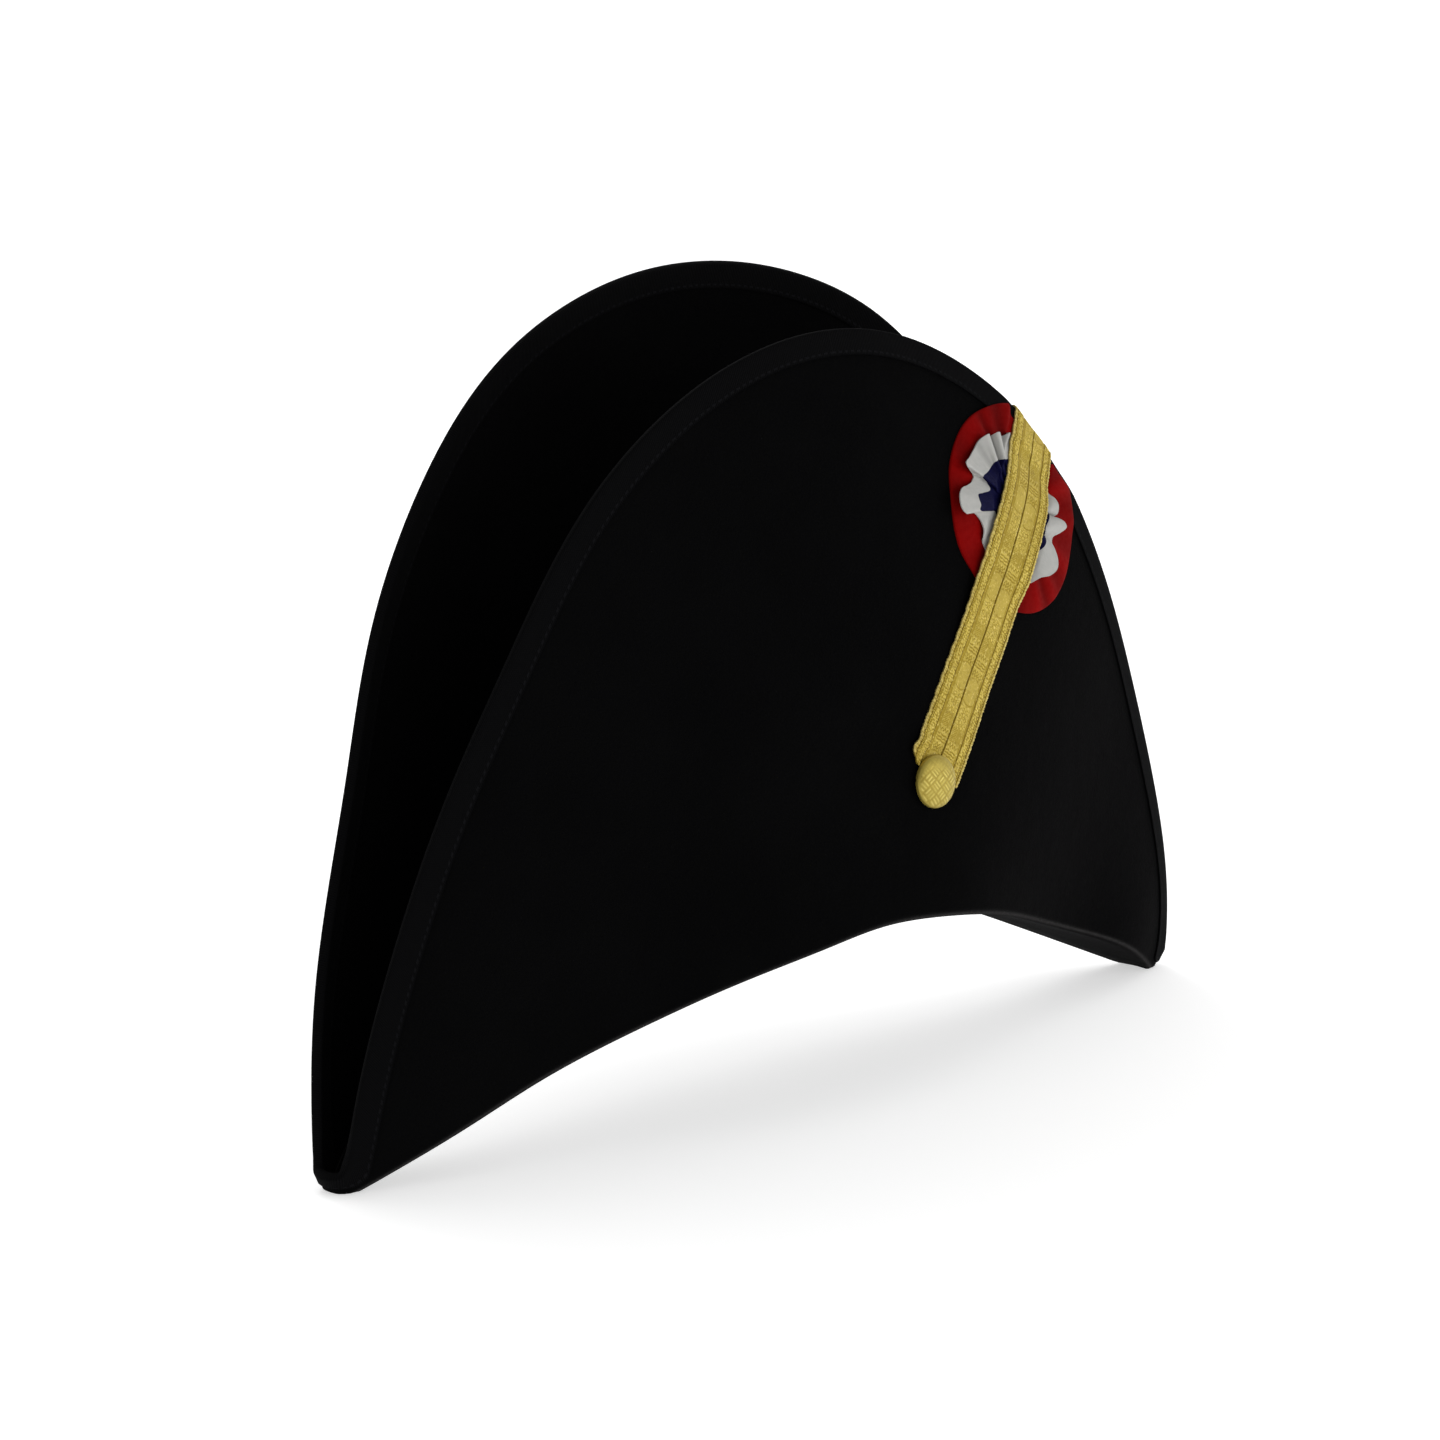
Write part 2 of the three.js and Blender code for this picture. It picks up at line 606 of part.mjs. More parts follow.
function bicorne() {
  const hat = new THREE.Group();
  const lines = hatLines();
  const felt = feltGrid(lines);
  const gold = material(COLOURS.gold, 0.45, 0.6);
  hat.add(piece("felt_body", feltBody(felt), material(COLOURS.felt, 0.95, 0)));
  hat.add(piece("edge_binding", edgeBinding(lines, felt), material(COLOURS.binding, 0.8, 0)));
  const cockade = new THREE.Group();
  cockade.add(piece("cockade_red", cockadeRed(), material(COLOURS.red, 0.6, 0)));
  cockade.add(piece("cockade_white", cockadeWhite(), material(COLOURS.white, 0.7, 0)));
  cockade.add(piece("cockade_blue", cockadeBlue(), material(COLOURS.blue, 0.7, 0)));
  hat.add(cockade);
  const loop = new THREE.Group();
  loop.add(piece("gold_lace_left", goldLace(-1), gold));
  loop.add(piece("gold_lace_right", goldLace(1), gold));
  loop.add(button());
  hat.add(loop);
  return hat;
}

export default bicorne();
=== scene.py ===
"""A felt bicorne hat with a bound edge, a tricolour cockade, two runs of gold lace and a gold button.

The hat's own surfaces are worked out in millimetres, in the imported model's frame, and written as metres.
"""

import math
from collections import namedtuple

import bpy
import numpy as np
from mathutils import Matrix, Vector


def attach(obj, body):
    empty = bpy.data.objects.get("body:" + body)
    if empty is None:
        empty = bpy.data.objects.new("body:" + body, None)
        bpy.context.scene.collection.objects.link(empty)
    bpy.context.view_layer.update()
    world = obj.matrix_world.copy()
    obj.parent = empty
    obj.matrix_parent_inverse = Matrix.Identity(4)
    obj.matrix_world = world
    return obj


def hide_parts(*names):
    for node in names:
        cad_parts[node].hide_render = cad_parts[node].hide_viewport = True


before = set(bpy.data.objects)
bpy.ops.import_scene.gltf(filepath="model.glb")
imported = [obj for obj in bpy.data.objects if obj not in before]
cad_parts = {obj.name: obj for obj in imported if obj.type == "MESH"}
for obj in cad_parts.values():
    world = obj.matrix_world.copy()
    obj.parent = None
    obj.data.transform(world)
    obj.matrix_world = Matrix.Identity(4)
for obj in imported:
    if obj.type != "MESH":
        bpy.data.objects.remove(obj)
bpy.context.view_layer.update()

MM = 0.001

# The felt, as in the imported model
WALL = 2.6
FLAP_BULGE = 7.5
FOOT_PRESS = 3
CROWN_TOP = 192
CROWN_SQUARENESS = 2.6
OPENING_LENGTH = 115
OPENING_WIDTH = 64
OPENING_CORNER = 4
FOLD_CORNER = 2.5
SPAN = 217
END_BOW = {"fold": 1.5, "edge": 3, "dip": 1}
END_ANGLE = math.radians(84)
OPENING_LEAD = 1.36

# Sections from the middle to a point: x, depth from the middle plane, height
FOLD_AT = [(0, 72.5, 69), (36, 72.5, 66), (72.5, 62, 57.5), (108.5, 46.5, 45)]
FOLD_AT += [(145, 34.5, 31.5), (181, 26.5, 16.5), (217, 6.5, -3.7)]
FRONT_AT = [(0, 41.5, 295), (60, 39, 281.5), (116.5, 37, 242.5), (155, 33, 188)]
FRONT_AT += [(184, 24.5, 130.5), (210, 16.5, 59.5), (219.5, 9.5, 8)]
REAR_AT = [(0, 36.5, 316), (62, 34, 305.5), (118, 30.5, 271), (161.5, 27.5, 207.5)]
REAR_AT += [(185, 22, 143), (207.5, 15.5, 73.5), (219, 7.5, 8)]
GROUND = FOLD_AT[-1][2] + FOOT_PRESS

# Ripples up a flap: their phases at its middle, how these run along it, waves to its height, and depth
RIPPLE = {"front": (2.3, 0.4), "rear": (1.1, 2.9), "along": (7.1, 3.7), "up": (4.2, 6.5), "depth": 1.6}

# Where the lace is drawn tight over the front edge, it dents the felt
DENT = {"middle": 119.5, "half": 7, "falloff": 13, "depth": 2.2}

# The ribbon lies a gap clear of the felt, and further from its rim, from its fold and from the ground
GAP = 0.1
BINDING = {"thickness": 0.7, "width": 9, "rows": 5}
BINDING |= {"from_rim": 0.35, "from_fold": 0.35, "from_ground": 0.7}
LACE = {"thickness": 1.0, "width": 14.6, "end": 12, "relief": 0.42, "seam": 0.12, "clear": 0.03}
BUTTON = {"x": 23.0, "z": 122.2, "radius": 10.3, "edge": 0.9, "dome": 2.7}
BUTTON |= {"above_lace": 0.3, "relief": 0.16}
STRAP = {"x": 22, "z": 124.7, "along_x": 0.604, "along_z": 0.797}
COCKADE = {"x": 91.5, "z": 217, "eye": 2.5}
BLACK, WHITE = (0, 0, 0, 1), (1, 1, 1, 1)

FRONT, REAR = -1, 1
UP = np.array([0.0, 0.0, 1.0])


def mix(a, b, k):
    return a + (b - a) * k


def smooth(low, high, value):
    t = np.clip((np.asarray(value, float) - low) / (high - low), 0, 1)
    return t * t * (3 - 2 * t)


def size_of(v):
    return np.linalg.norm(v, axis=-1)


def unit(v):
    return v / size_of(v)[..., None]


def times(k, v):
    """Each vector of v times its own number of k."""
    return np.asarray(k, float)[..., None] * v


def summed(steps):
    return np.concatenate([[0], np.cumsum(steps)])


def run_lengths(points, closed=False):
    """Distance along a row of points, from its first point."""
    if closed:
        points = np.concatenate([points, points[:1]])
    return summed(size_of(np.diff(points, axis=0)))


def wrapped(grid):
    """The grid with its first column once more at its end."""
    return np.concatenate([grid, grid[:, :1]], axis=1)


def thread_map(along, across):
    """A grid of places from the distances along its rows and across them."""
    return np.stack(np.broadcast_arrays(along, across[:, None]), axis=-1)


def through_sections(values, starts_level):
    """A smooth curve through values at even steps of a station from 0 to 1."""
    values = np.asarray(values, float)
    last = len(values) - 1
    system, wanted = np.eye(last + 1), np.zeros(last + 1)
    if starts_level:
        system[0, 1] = 0.5
        wanted[0] = 3 * (values[1] - values[0])
    for i in range(1, last):
        system[i, i - 1 : i + 2] = 1, 4, 1
        wanted[i] = 6 * (values[i + 1] - 2 * values[i] + values[i - 1])
    bend = np.linalg.solve(system, wanted)

    def at(station):
        scaled = np.asarray(station, float) * last
        i = np.clip(np.floor(scaled).astype(int), 0, last - 1)
        b = scaled - i
        a = 1 - b
        straight = a * values[i] + b * values[i + 1]
        return straight + ((a**3 - a) * bend[i] + (b**3 - b) * bend[i + 1]) / 6

    return at


def section_curve(rows):
    """A curve through sections; its depth and height start level, so that both sides meet smoothly."""
    x, y, z = (through_sections(values, i > 0) for i, values in enumerate(zip(*rows)))
    return lambda station: np.stack([x(station), y(station), z(station) - GROUND], axis=-1)


fold_curve = section_curve(FOLD_AT)
edge_curves = {FRONT: section_curve(FRONT_AT), REAR: section_curve(REAR_AT)}

# Lines of felt from the opening to the edge, as arrays with one row for each line
Lines = namedtuple("Lines", "opening fold rim rise bulge ripple phase")


def lines_of(fold, edge, opening_angle, outward, *shape):
    opening_x = OPENING_LENGTH * np.sin(opening_angle)
    opening_y = -OPENING_WIDTH * np.cos(opening_angle)
    opening_z = fold_curve(np.abs(opening_x) / SPAN)[..., 2] + WALL / 2
    opening = np.stack([opening_x, opening_y, opening_z], axis=-1)
    creased = fold - outward * (WALL / 2) + UP * (WALL / 2)
    rise = unit(edge - creased)
    rim = edge - rise * (GAP + BINDING["from_rim"] + BINDING["thickness"])
    return Lines(opening, creased, rim, rise, *shape)


def flap_lines(hand, side, station):
    station = np.asarray(station, float)
    turn = np.array([hand, side, 1.0])
    edge = edge_curves[side](station)
    if side == FRONT and hand > 0:
        past = np.abs(edge[..., 0] - DENT["middle"]) - DENT["half"]
        edge[..., 2] -= DENT["depth"] * (1 - smooth(0, DENT["falloff"], past))
    angle = END_ANGLE * station * mix(OPENING_LEAD, 1, station)
    turned = angle if side == FRONT else math.pi - angle
    outward = np.zeros(station.shape + (3,))
    outward[..., 1] = side
    bulge = times(4 * FLAP_BULGE * (1 - station**2), outward)
    ripple = times(1 - station**4, outward)
    starts = RIPPLE["front" if side == FRONT else "rear"]
    phase = np.stack([k * hand * station + start for k, start in zip(RIPPLE["along"], starts)], axis=-1)
    fold = fold_curve(station) * turn
    return lines_of(fold, edge * turn, hand * turned, outward, bulge, ripple, phase)


def end_lines(hand, across):
    """Lines to the rounded end of a point, from -1 at the front flap to 1 at the rear flap."""
    across = np.asarray(across, float)
    bow = 1 - across**2
    fold, front, rear = fold_curve(1.0), edge_curves[FRONT](1.0), edge_curves[REAR](1.0)
    k = (across + 1) / 2
    fold_x = hand * (fold[0] + END_BOW["fold"] * bow)
    fold_end = np.stack([fold_x, across * fold[1], fold[2] + 0 * bow], axis=-1)
    edge_x = hand * (mix(front[0], rear[0], k) + END_BOW["edge"] * bow)
    edge_z = mix(front[2], rear[2], k) - END_BOW["dip"] * bow
    edge_end = np.stack([edge_x, mix(-front[1], rear[1], k), edge_z], axis=-1)
    swing = across * math.pi / 2
    outward = np.stack([hand * np.cos(swing), np.sin(swing), 0 * swing], axis=-1)
    turned = mix(END_ANGLE, math.pi - END_ANGLE, k)
    still = np.zeros(across.shape + (3,))
    return lines_of(fold_end, edge_end, hand * turned, outward, still, still, still[:, :2])


def hat_lines(quarter, end):
    """All lines in order, once round the hat from the middle of the front flap."""
    up = np.arange(quarter) / quarter
    down = np.arange(quarter, 0, -1) / quarter
    over = 2 * np.arange(end) / end - 1
    parts = [flap_lines(1, FRONT, up), end_lines(1, over), flap_lines(1, REAR, down)]
    parts += [flap_lines(-1, REAR, up), end_lines(-1, -over), flap_lines(-1, FRONT, down)]
    corners = np.array([quarter, quarter + end, 3 * quarter + end, 3 * quarter + 2 * end])
    return rounded_corners(Lines(*map(np.concatenate, zip(*parts))), corners)


def rounded_corners(lines, corners, reach=7, rounds=8):
    """The lines with the corners eased where a flap turns into the end of a point."""
    away = np.abs(np.arange(len(lines.rim))[:, None] - corners).min(axis=1)
    share = 0.5 * np.clip(1 - away / reach, 0, 1)[:, None]
    eased = {}
    for name in ("opening", "fold", "rim", "rise"):
        points = getattr(lines, name)
        for _ in range(rounds):
            beside = (np.roll(points, 1, axis=0) + np.roll(points, -1, axis=0)) / 2
            points = mix(points, beside, share)
        eased[name] = points
    eased["rise"] = unit(eased["rise"])
    return lines._replace(**eased)


def flap_point(lines, height):
    """The middle of the felt, with height 0 at the fold and 1 at the felt's edge."""
    height = np.asarray(height, float)
    height = height[..., None] if height.ndim else height
    spread = height * (1 - height)
    slow, quick = lines.phase[..., :1], lines.phase[..., 1:]
    slow_up, quick_up = RIPPLE["up"]
    wave = np.sin(slow + slow_up * height) + 0.7 * np.sin(quick - quick_up * height)
    straight = mix(lines.fold, lines.rim, height)
    return straight + lines.bulge * spread + lines.ripple * (RIPPLE["depth"] * spread * wave)


def crown_point(lines, share):
    angle = share * math.pi / 2
    reach, rise = (f(angle) ** (2 / CROWN_SQUARENESS) for f in (math.sin, math.cos))
    point = lines.opening * [reach, reach, 1]
    point[:, 2] = mix(lines.opening[:, 2], CROWN_TOP, rise)
    return point


def fold_reach_of(lines):
    """How far from the fold its rounding starts, on each line."""
    under, flap = size_of(lines.fold - lines.opening), size_of(lines.fold - lines.rim)
    return np.minimum(FOLD_CORNER, np.minimum(0.42 * under, 0.45 * flap))


def bound_from(lines):
    """The height on each flap line where the edge ribbon starts."""
    run = unit(np.roll(lines.rim, -1, axis=0) - np.roll(lines.rim, 1, axis=0))
    slant = size_of(np.cross(run, lines.rise))
    length = size_of(lines.fold - lines.rim)
    above_fold = length - fold_reach_of(lines) - BINDING["from_fold"]
    above_point = (lines.rim[:, 2] - WALL - BINDING["from_ground"]) / lines.rise[:, 2]
    wanted = BINDING["width"] / slant
    return 1 - np.minimum(wanted, np.minimum(above_fold, above_point)) / length


def bend(start, corner, end, steps):
    """Points of a rounded corner."""
    shares = np.linspace(0, 1, steps + 1)
    return [mix(mix(start, corner, t), mix(corner, end, t), t) for t in shares]


def normals_of(rows):
    down = np.concatenate([rows[1:2] - rows[:1], rows[2:] - rows[:-2], rows[-1:] - rows[-2:-1]])
    along = np.roll(rows, -1, axis=1) - np.roll(rows, 1, axis=1)
    return unit(np.cross(down, along))


def felt_rows(lines, crown, corner, underside, flap, bound):
    """The middle of the felt in rows round the hat, from the crown's top to the rim, with its normals."""
    under = lines.fold - lines.opening
    opening_reach = np.minimum(OPENING_CORNER, 0.42 * size_of(under))
    under = unit(under)
    fold_reach = fold_reach_of(lines)
    rows = [crown_point(lines, i / crown) for i in range(1, crown)]
    foot = lines.opening + times(opening_reach, UP)
    start = lines.opening + times(opening_reach, under)
    finish = lines.fold - times(fold_reach, under)
    flap_foot = fold_reach / size_of(lines.fold - lines.rim)
    rows += bend(foot, lines.opening, start, corner)
    rows += [mix(start, finish, i / underside) for i in range(1, underside)]
    rows += bend(finish, lines.fold, flap_point(lines, flap_foot), corner)
    edge = bound_from(lines)
    rows += [flap_point(lines, mix(flap_foot, edge, i / flap)) for i in range(1, flap + 1)]
    rows += [flap_point(lines, mix(edge, 1, i / bound)) for i in range(1, bound + 1)]
    rows = np.array(rows)
    return rows, normals_of(rows)


def placed(name, data):
    """A new object in the scene."""
    thing = bpy.data.objects.new(name, data)
    bpy.context.scene.collection.objects.link(thing)
    return thing


class Pattern:
    """A mesh under construction, in millimetres, with a UV map in metres."""

    def __init__(self):
        self.points = []
        self.count = 0
        self.faces = []
        self.uvs = []
        self.values = []

    def add(self, grid, value=0.0):
        """Adds a grid of points, and gives back their indices in the same grid."""
        flat = np.asarray(grid, float).reshape(-1, 3)
        shape = np.asarray(grid).shape[:-1]
        index = np.arange(self.count, self.count + len(flat)).reshape(shape)
        self.points.append(flat)
        self.values.append(np.broadcast_to(np.asarray(value, float), shape).reshape(-1))
        self.count += len(flat)
        return index

    def quads(self, index, uv, flip=False):
        """Quads over a grid of indices; uv has the same grid of places in millimetres."""
        this, next_one = slice(None, -1), slice(1, None)
        corners = [(this, this), (next_one, this), (next_one, next_one), (this, next_one)]
        if flip:
            corners.reverse()
        self.faces.append(np.stack([index[c] for c in corners], axis=-1).reshape(-1, 4))
        self.uvs.append(np.stack([uv[c] for c in corners], axis=-2).reshape(-1, 4, 2))

    def fan(self, tip, ring, flip=False):
        """Triangles from one point to a closed ring."""
        around = np.roll(ring, -1)
        pair = (around, ring) if flip else (ring, around)
        self.faces.append(np.stack([np.full_like(ring, tip), *pair], axis=-1))
        self.uvs.append(np.zeros((len(ring), 3, 2)))

    def tips(self, top, bottom, up, low, values=(0.0, 0.0)):
        """Closes the first row of a disc's upper and lower side with a point each."""
        tip = self.add(top[None], values[0])[0]
        foot = self.add(bottom[None], values[1])[0]
        self.fan(tip, up[0])
        self.fan(foot, low[0], flip=True)

    def layers(self, up, low, uv):
        """The upper and lower side of a sheet that runs once round, and its last edge."""
        self.quads(wrapped(up), uv)
        self.quads(wrapped(low), uv, flip=True)
        self.quads(wrapped(np.stack([up[-1], low[-1]])), uv[-2:])

    def side(self, up, low, uv, axis, flip):
        """The edge of a sheet, between a line of its upper side and the same line of its lower side."""
        self.quads(np.stack([up, low], axis), np.stack([uv, uv], axis), flip)

    def build(self, name, material, node, slot, sharp=40):
        mesh = bpy.data.meshes.new(name)
        points = np.concatenate(self.points) * MM
        mesh.from_pydata(points.tolist(), [], [f for part in self.faces for f in part.tolist()])
        layer = mesh.uv_layers.new(name="thread")
        uvs = np.concatenate([part.reshape(-1, 2) for part in self.uvs]) * MM
        layer.data.foreach_set("uv", uvs.astype(np.float32).ravel())
        relief = mesh.attributes.new("relief", "FLOAT", "POINT")
        relief.data.foreach_set("value", np.concatenate(self.values).astype(np.float32))
        mesh.shade_smooth()
        mesh.set_sharp_from_angle(angle=math.radians(sharp))
        mesh.materials.append(material)
        piece = placed(name, mesh)
        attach(piece, "root")
        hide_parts(node)
        return piece


# Materials


class Nodes:
    """Short names for making the nodes of a material or world."""

    def __init__(self, owner, shader="Principled BSDF"):
        self.owner = owner
        owner.use_nodes = True
        self.tree = owner.node_tree
        self.inputs = self.tree.nodes[shader].inputs

    def put(self, socket, value):
        if isinstance(value, bpy.types.NodeSocket):
            self.tree.links.new(value, socket)
        else:
            socket.default_value = value

    def new(self, kind, inputs=(), **settings):
        node = self.tree.nodes.new(kind)
        for key, value in settings.items():
            setattr(node, key, value)
        for key, value in dict(inputs).items():
            self.put(node.inputs[key], value)
        return node

    def math(self, operation, a, b=0.0):
        return self.new("ShaderNodeMath", {0: a, 1: b}, operation=operation).outputs[0]

    def noise(self, vector, scale, detail=3.0, roughness=0.55):
        inputs = {"Vector": vector, "Scale": scale, "Detail": detail, "Roughness": roughness}
        return self.new("ShaderNodeTexNoise", inputs).outputs["Fac"]

    def span(self, value, low, high, to_low=0.0, to_high=1.0):
        names = ("Value", "From Min", "From Max", "To Min", "To Max")
        inputs = dict(zip(names, (value, low, high, to_low, to_high)))
        return self.new("ShaderNodeMapRange", inputs, interpolation_type="SMOOTHSTEP").outputs["Result"]

    def blend(self, factor, a, b):
        node = self.new("ShaderNodeMix", data_type="RGBA")
        for socket, value in ((0, factor), (6, a), (7, b)):
            self.put(node.inputs[socket], value)
        return node.outputs[2]

    def waves(self, coordinate, period):
        """0 to 1 ridges with one crest to each period of a coordinate in metres."""
        turned = self.math("MULTIPLY", coordinate, math.tau / period)
        level = self.math("MULTIPLY_ADD", self.math("SINE", turned), 0.5)
        level.node.inputs[2].default_value = 0.5
        return level

    def line(self, coordinate, middle, half):
        """1 on a line at middle, 0 away from it."""
        away = self.math("ABSOLUTE", self.math("SUBTRACT", coordinate, middle))
        return self.span(away, half, half * 1.8, 1, 0)

    def place(self):
        return self.new("ShaderNodeTexCoord").outputs["Object"]

    def relief(self):
        """The number that each point of the mesh carries."""
        kind = {"attribute_name": "relief", "attribute_type": "GEOMETRY"}
        return self.new("ShaderNodeAttribute", **kind).outputs["Fac"]

    def thread(self):
        """The UV map's place along and across the ribbon, in metres."""
        place = self.new("ShaderNodeUVMap", uv_map="thread").outputs[0]
        parts = self.new("ShaderNodeSeparateXYZ", {0: place})
        return place, parts.outputs[0], parts.outputs[1]

    def bump(self, height, distance, strength=1.0, after=None):
        inputs = {"Height": height, "Distance": distance, "Strength": strength}
        if after:
            inputs["Normal"] = after
        return self.new("ShaderNodeBump", inputs).outputs[0]

    def coats(self, color, *coats):
        """A colour with others over it, each laid on from least to most over a span of a value."""
        for value, low, high, least, most, tone in coats:
            color = self.blend(self.span(value, low, high, least, most), color, rgb(*tone))
        return color

    def finish(self, color, roughness, **others):
        for name, value in {"base_color": color, "roughness": roughness, **others}.items():
            self.put(self.inputs[name.replace("_", " ").title().replace("Ior", "IOR")], value)
        return self.owner


def material_nodes(name):
    return Nodes(bpy.data.materials.new(name))


def rgb(red, green, blue):
    """A linear colour from the 0 to 255 values of a screen."""
    parts = []
    for part in (red, green, blue):
        c = part / 255
        parts.append(c / 12.92 if c <= 0.04045 else ((c + 0.055) / 1.055) ** 2.4)
    return (*parts, 1)


def felt_material():
    n = material_nodes("wool_felt")
    place = n.place()
    cloudy = n.noise(place, 14, 3)
    nap = n.noise(place, 1600, 4, 0.7)
    fibre = n.new("ShaderNodeTexVoronoi", {"Vector": place, "Scale": 700.0}).outputs["Distance"]
    # Cloudy tone at random; lighter on the high nap as a painted highlight, and darker in the low nap as
    # painted shade.
    color = n.coats(
        rgb(5.5, 5.5, 6),
        (cloudy, 0.35, 0.68, 0, 1, (7.5, 7.5, 8)),
        (nap, 0.62, 0.78, 0, 1, (15, 15, 17)),
        (nap, 0.42, 0.3, 0, 1, (4, 4, 5)),
    )
    # A painted highlight along the lower fold, from the mesh's relief values and broken up by the nap.
    wear_and_crease_highlight = n.math("MULTIPLY", n.relief(), n.span(nap, 0.35, 0.6, 0.45, 1))
    color = n.blend(wear_and_crease_highlight, color, rgb(50, 49, 49))
    height = n.math("ADD", n.math("MULTIPLY", nap, 0.7), n.math("MULTIPLY", fibre, 0.5))
    normal = n.bump(height, 0.0004, 0.5)
    normal = n.bump(n.noise(place, 90, 2), 0.0012, 0.35, normal)
    rough = n.span(nap, 0.3, 0.7, 0.98, 0.86)
    sheen = {"sheen_weight": 0.006, "sheen_roughness": 0.3}
    return n.finish(color, rough, normal=normal, specular_ior_level=0.02, **sheen)


def binding_material():
    n = material_nodes("grosgrain_binding")
    place, along, across = n.thread()
    ribs = n.waves(along, 0.00085)
    mottle = n.noise(n.place(), 260, 3)
    dashes = n.span(n.waves(along, 0.0032), 0.3, 0.55)
    dash = n.math("MULTIPLY", dashes, n.line(across, 0.0014, 0.0003))
    # Lighter on the rib crests and darker in the troughs: painted shade between the ribs.
    ribbed = (ribs, 0.1, 0.9, 0, 1, (13, 13, 14))
    color = n.coats(rgb(6, 6, 7), ribbed, (mottle, 0.3, 0.7, 0, 0.6, (9, 9, 10)))
    color = n.blend(dash, color, rgb(18, 18, 20))
    color = n.blend(n.span(across, 0.0, 0.0007), rgb(5, 5, 6), color)
    height = n.math("ADD", ribs, n.math("MULTIPLY", dash, 2.0))
    normal = n.bump(height, 0.00012, 0.8)
    normal = n.bump(n.noise(place, 60, 2), 0.0008, 0.3, normal)
    rough = n.span(ribs, 0, 1, 0.95, 0.85)
    return n.finish(color, rough, normal=normal, specular_ior_level=0.03)


def ribbon_material(name, low, high, painted_rib_shade, roughness, level, ribs_height=0.6):
    """A grosgrain ribbon whose ribs run round the cockade."""
    n = material_nodes(name)
    place, along, across = n.thread()
    ribs = n.waves(across, 0.00055)
    thread = n.waves(along, 0.0004)
    slubs = n.noise(place, 420, 3)
    color = n.blend(n.span(slubs, 0.3, 0.7), low, high)
    # The mesh's relief values darken the colour towards black: painted shade in the folds of the red
    # ribbon and in the low pleats of the ruffle.
    color = n.blend(n.relief(), color, BLACK)
    # Darker in the troughs between the ribs: painted shade.
    shade = n.blend(painted_rib_shade, color, BLACK)
    color = n.blend(n.span(ribs, 0.55, 0.05), color, shade)
    height = n.math("ADD", ribs, n.math("MULTIPLY", thread, 0.25))
    normal = n.bump(height, 0.00011 * ribs_height, 0.8)
    normal = n.bump(n.noise(place, 55, 2), 0.0006, 0.25, normal)
    rough = n.span(slubs, 0.3, 0.7, roughness + 0.05, roughness - 0.05)
    return n.finish(color, rough, normal=normal, specular_ior_level=level)


def lace_material():
    n = material_nodes("gold_lace")
    place, along, across = n.thread()
    relief = n.relief()
    diagonal = n.math("ADD", along, n.math("MULTIPLY", across, 0.6))
    counter = n.math("SUBTRACT", along, n.math("MULTIPLY", across, 0.8))
    strands = n.waves(diagonal, 0.0005)
    wraps = n.waves(counter, 0.00033)
    glint = n.noise(place, 900, 3, 0.6)
    wear_and_crease_highlight = n.noise(place, 90, 2)
    gaps = n.noise(n.place(), 620, 2, 0.5)
    # Colour by the relief values: darker in the low parts as painted shade and lighter on the high parts
    # as a painted highlight.
    color = n.coats(
        rgb(80, 56, 0),
        (relief, 0.0, 0.4, 0, 1, (176, 151, 42)),
        (relief, 0.4, 0.9, 0, 1, (228, 205, 100)),
        # Paler along the outer selvage as a painted highlight; darker between the strands and in the gaps
        # as painted shade; glints as painted highlights; a random worn tone.
        (across, 0.0012, 0.0006, 0, 0.35, (222, 208, 150)),
        (strands, 0.45, 0.0, 0, 0.3, (140, 114, 24)),
        (glint, 0.56, 0.7, 0, 0.75, (240, 220, 132)),
        (wear_and_crease_highlight, 0.6, 0.4, 0, 0.2, (160, 132, 36)),
        (gaps, 0.45, 0.28, 0, 0.25, (112, 86, 10)),
    )
    height = n.math("MULTIPLY", strands, 0.7)
    for part, depth in ((wraps, 0.4), (glint, 0.5), (gaps, 1.4)):
        height = n.math("ADD", height, n.math("MULTIPLY", part, depth))
    normal = n.bump(height, 0.00012, 0.8)
    rough = n.span(glint, 0.35, 0.7, 0.58, 0.42)
    return n.finish(color, rough, normal=normal, metallic=0.55, specular_ior_level=0.4)


def button_material():
    n = material_nodes("gilt_button")
    relief = n.relief()
    place = n.place()
    grain = n.noise(place, 1800, 3)
    wear_and_crease_highlight = n.noise(place, 240, 3)
    # Colour by the relief values: darker in the low parts as painted shade and lighter on the raised
    # strands as a painted highlight, with a random worn tone over it.
    color = n.coats(
        rgb(158, 137, 50),
        (relief, 0.0, 0.5, 0, 1, (178, 159, 70)),
        (relief, 0.6, 1.0, 0, 1, (210, 192, 102)),
        (wear_and_crease_highlight, 0.55, 0.75, 0, 0.4, (146, 116, 40)),
    )
    normal = n.bump(grain, 0.00008, 0.7)
    rough = n.span(grain, 0.3, 0.7, 0.5, 0.36)
    return n.finish(color, rough, normal=normal, metallic=0.6, specular_ior_level=0.5)


# Felt and binding


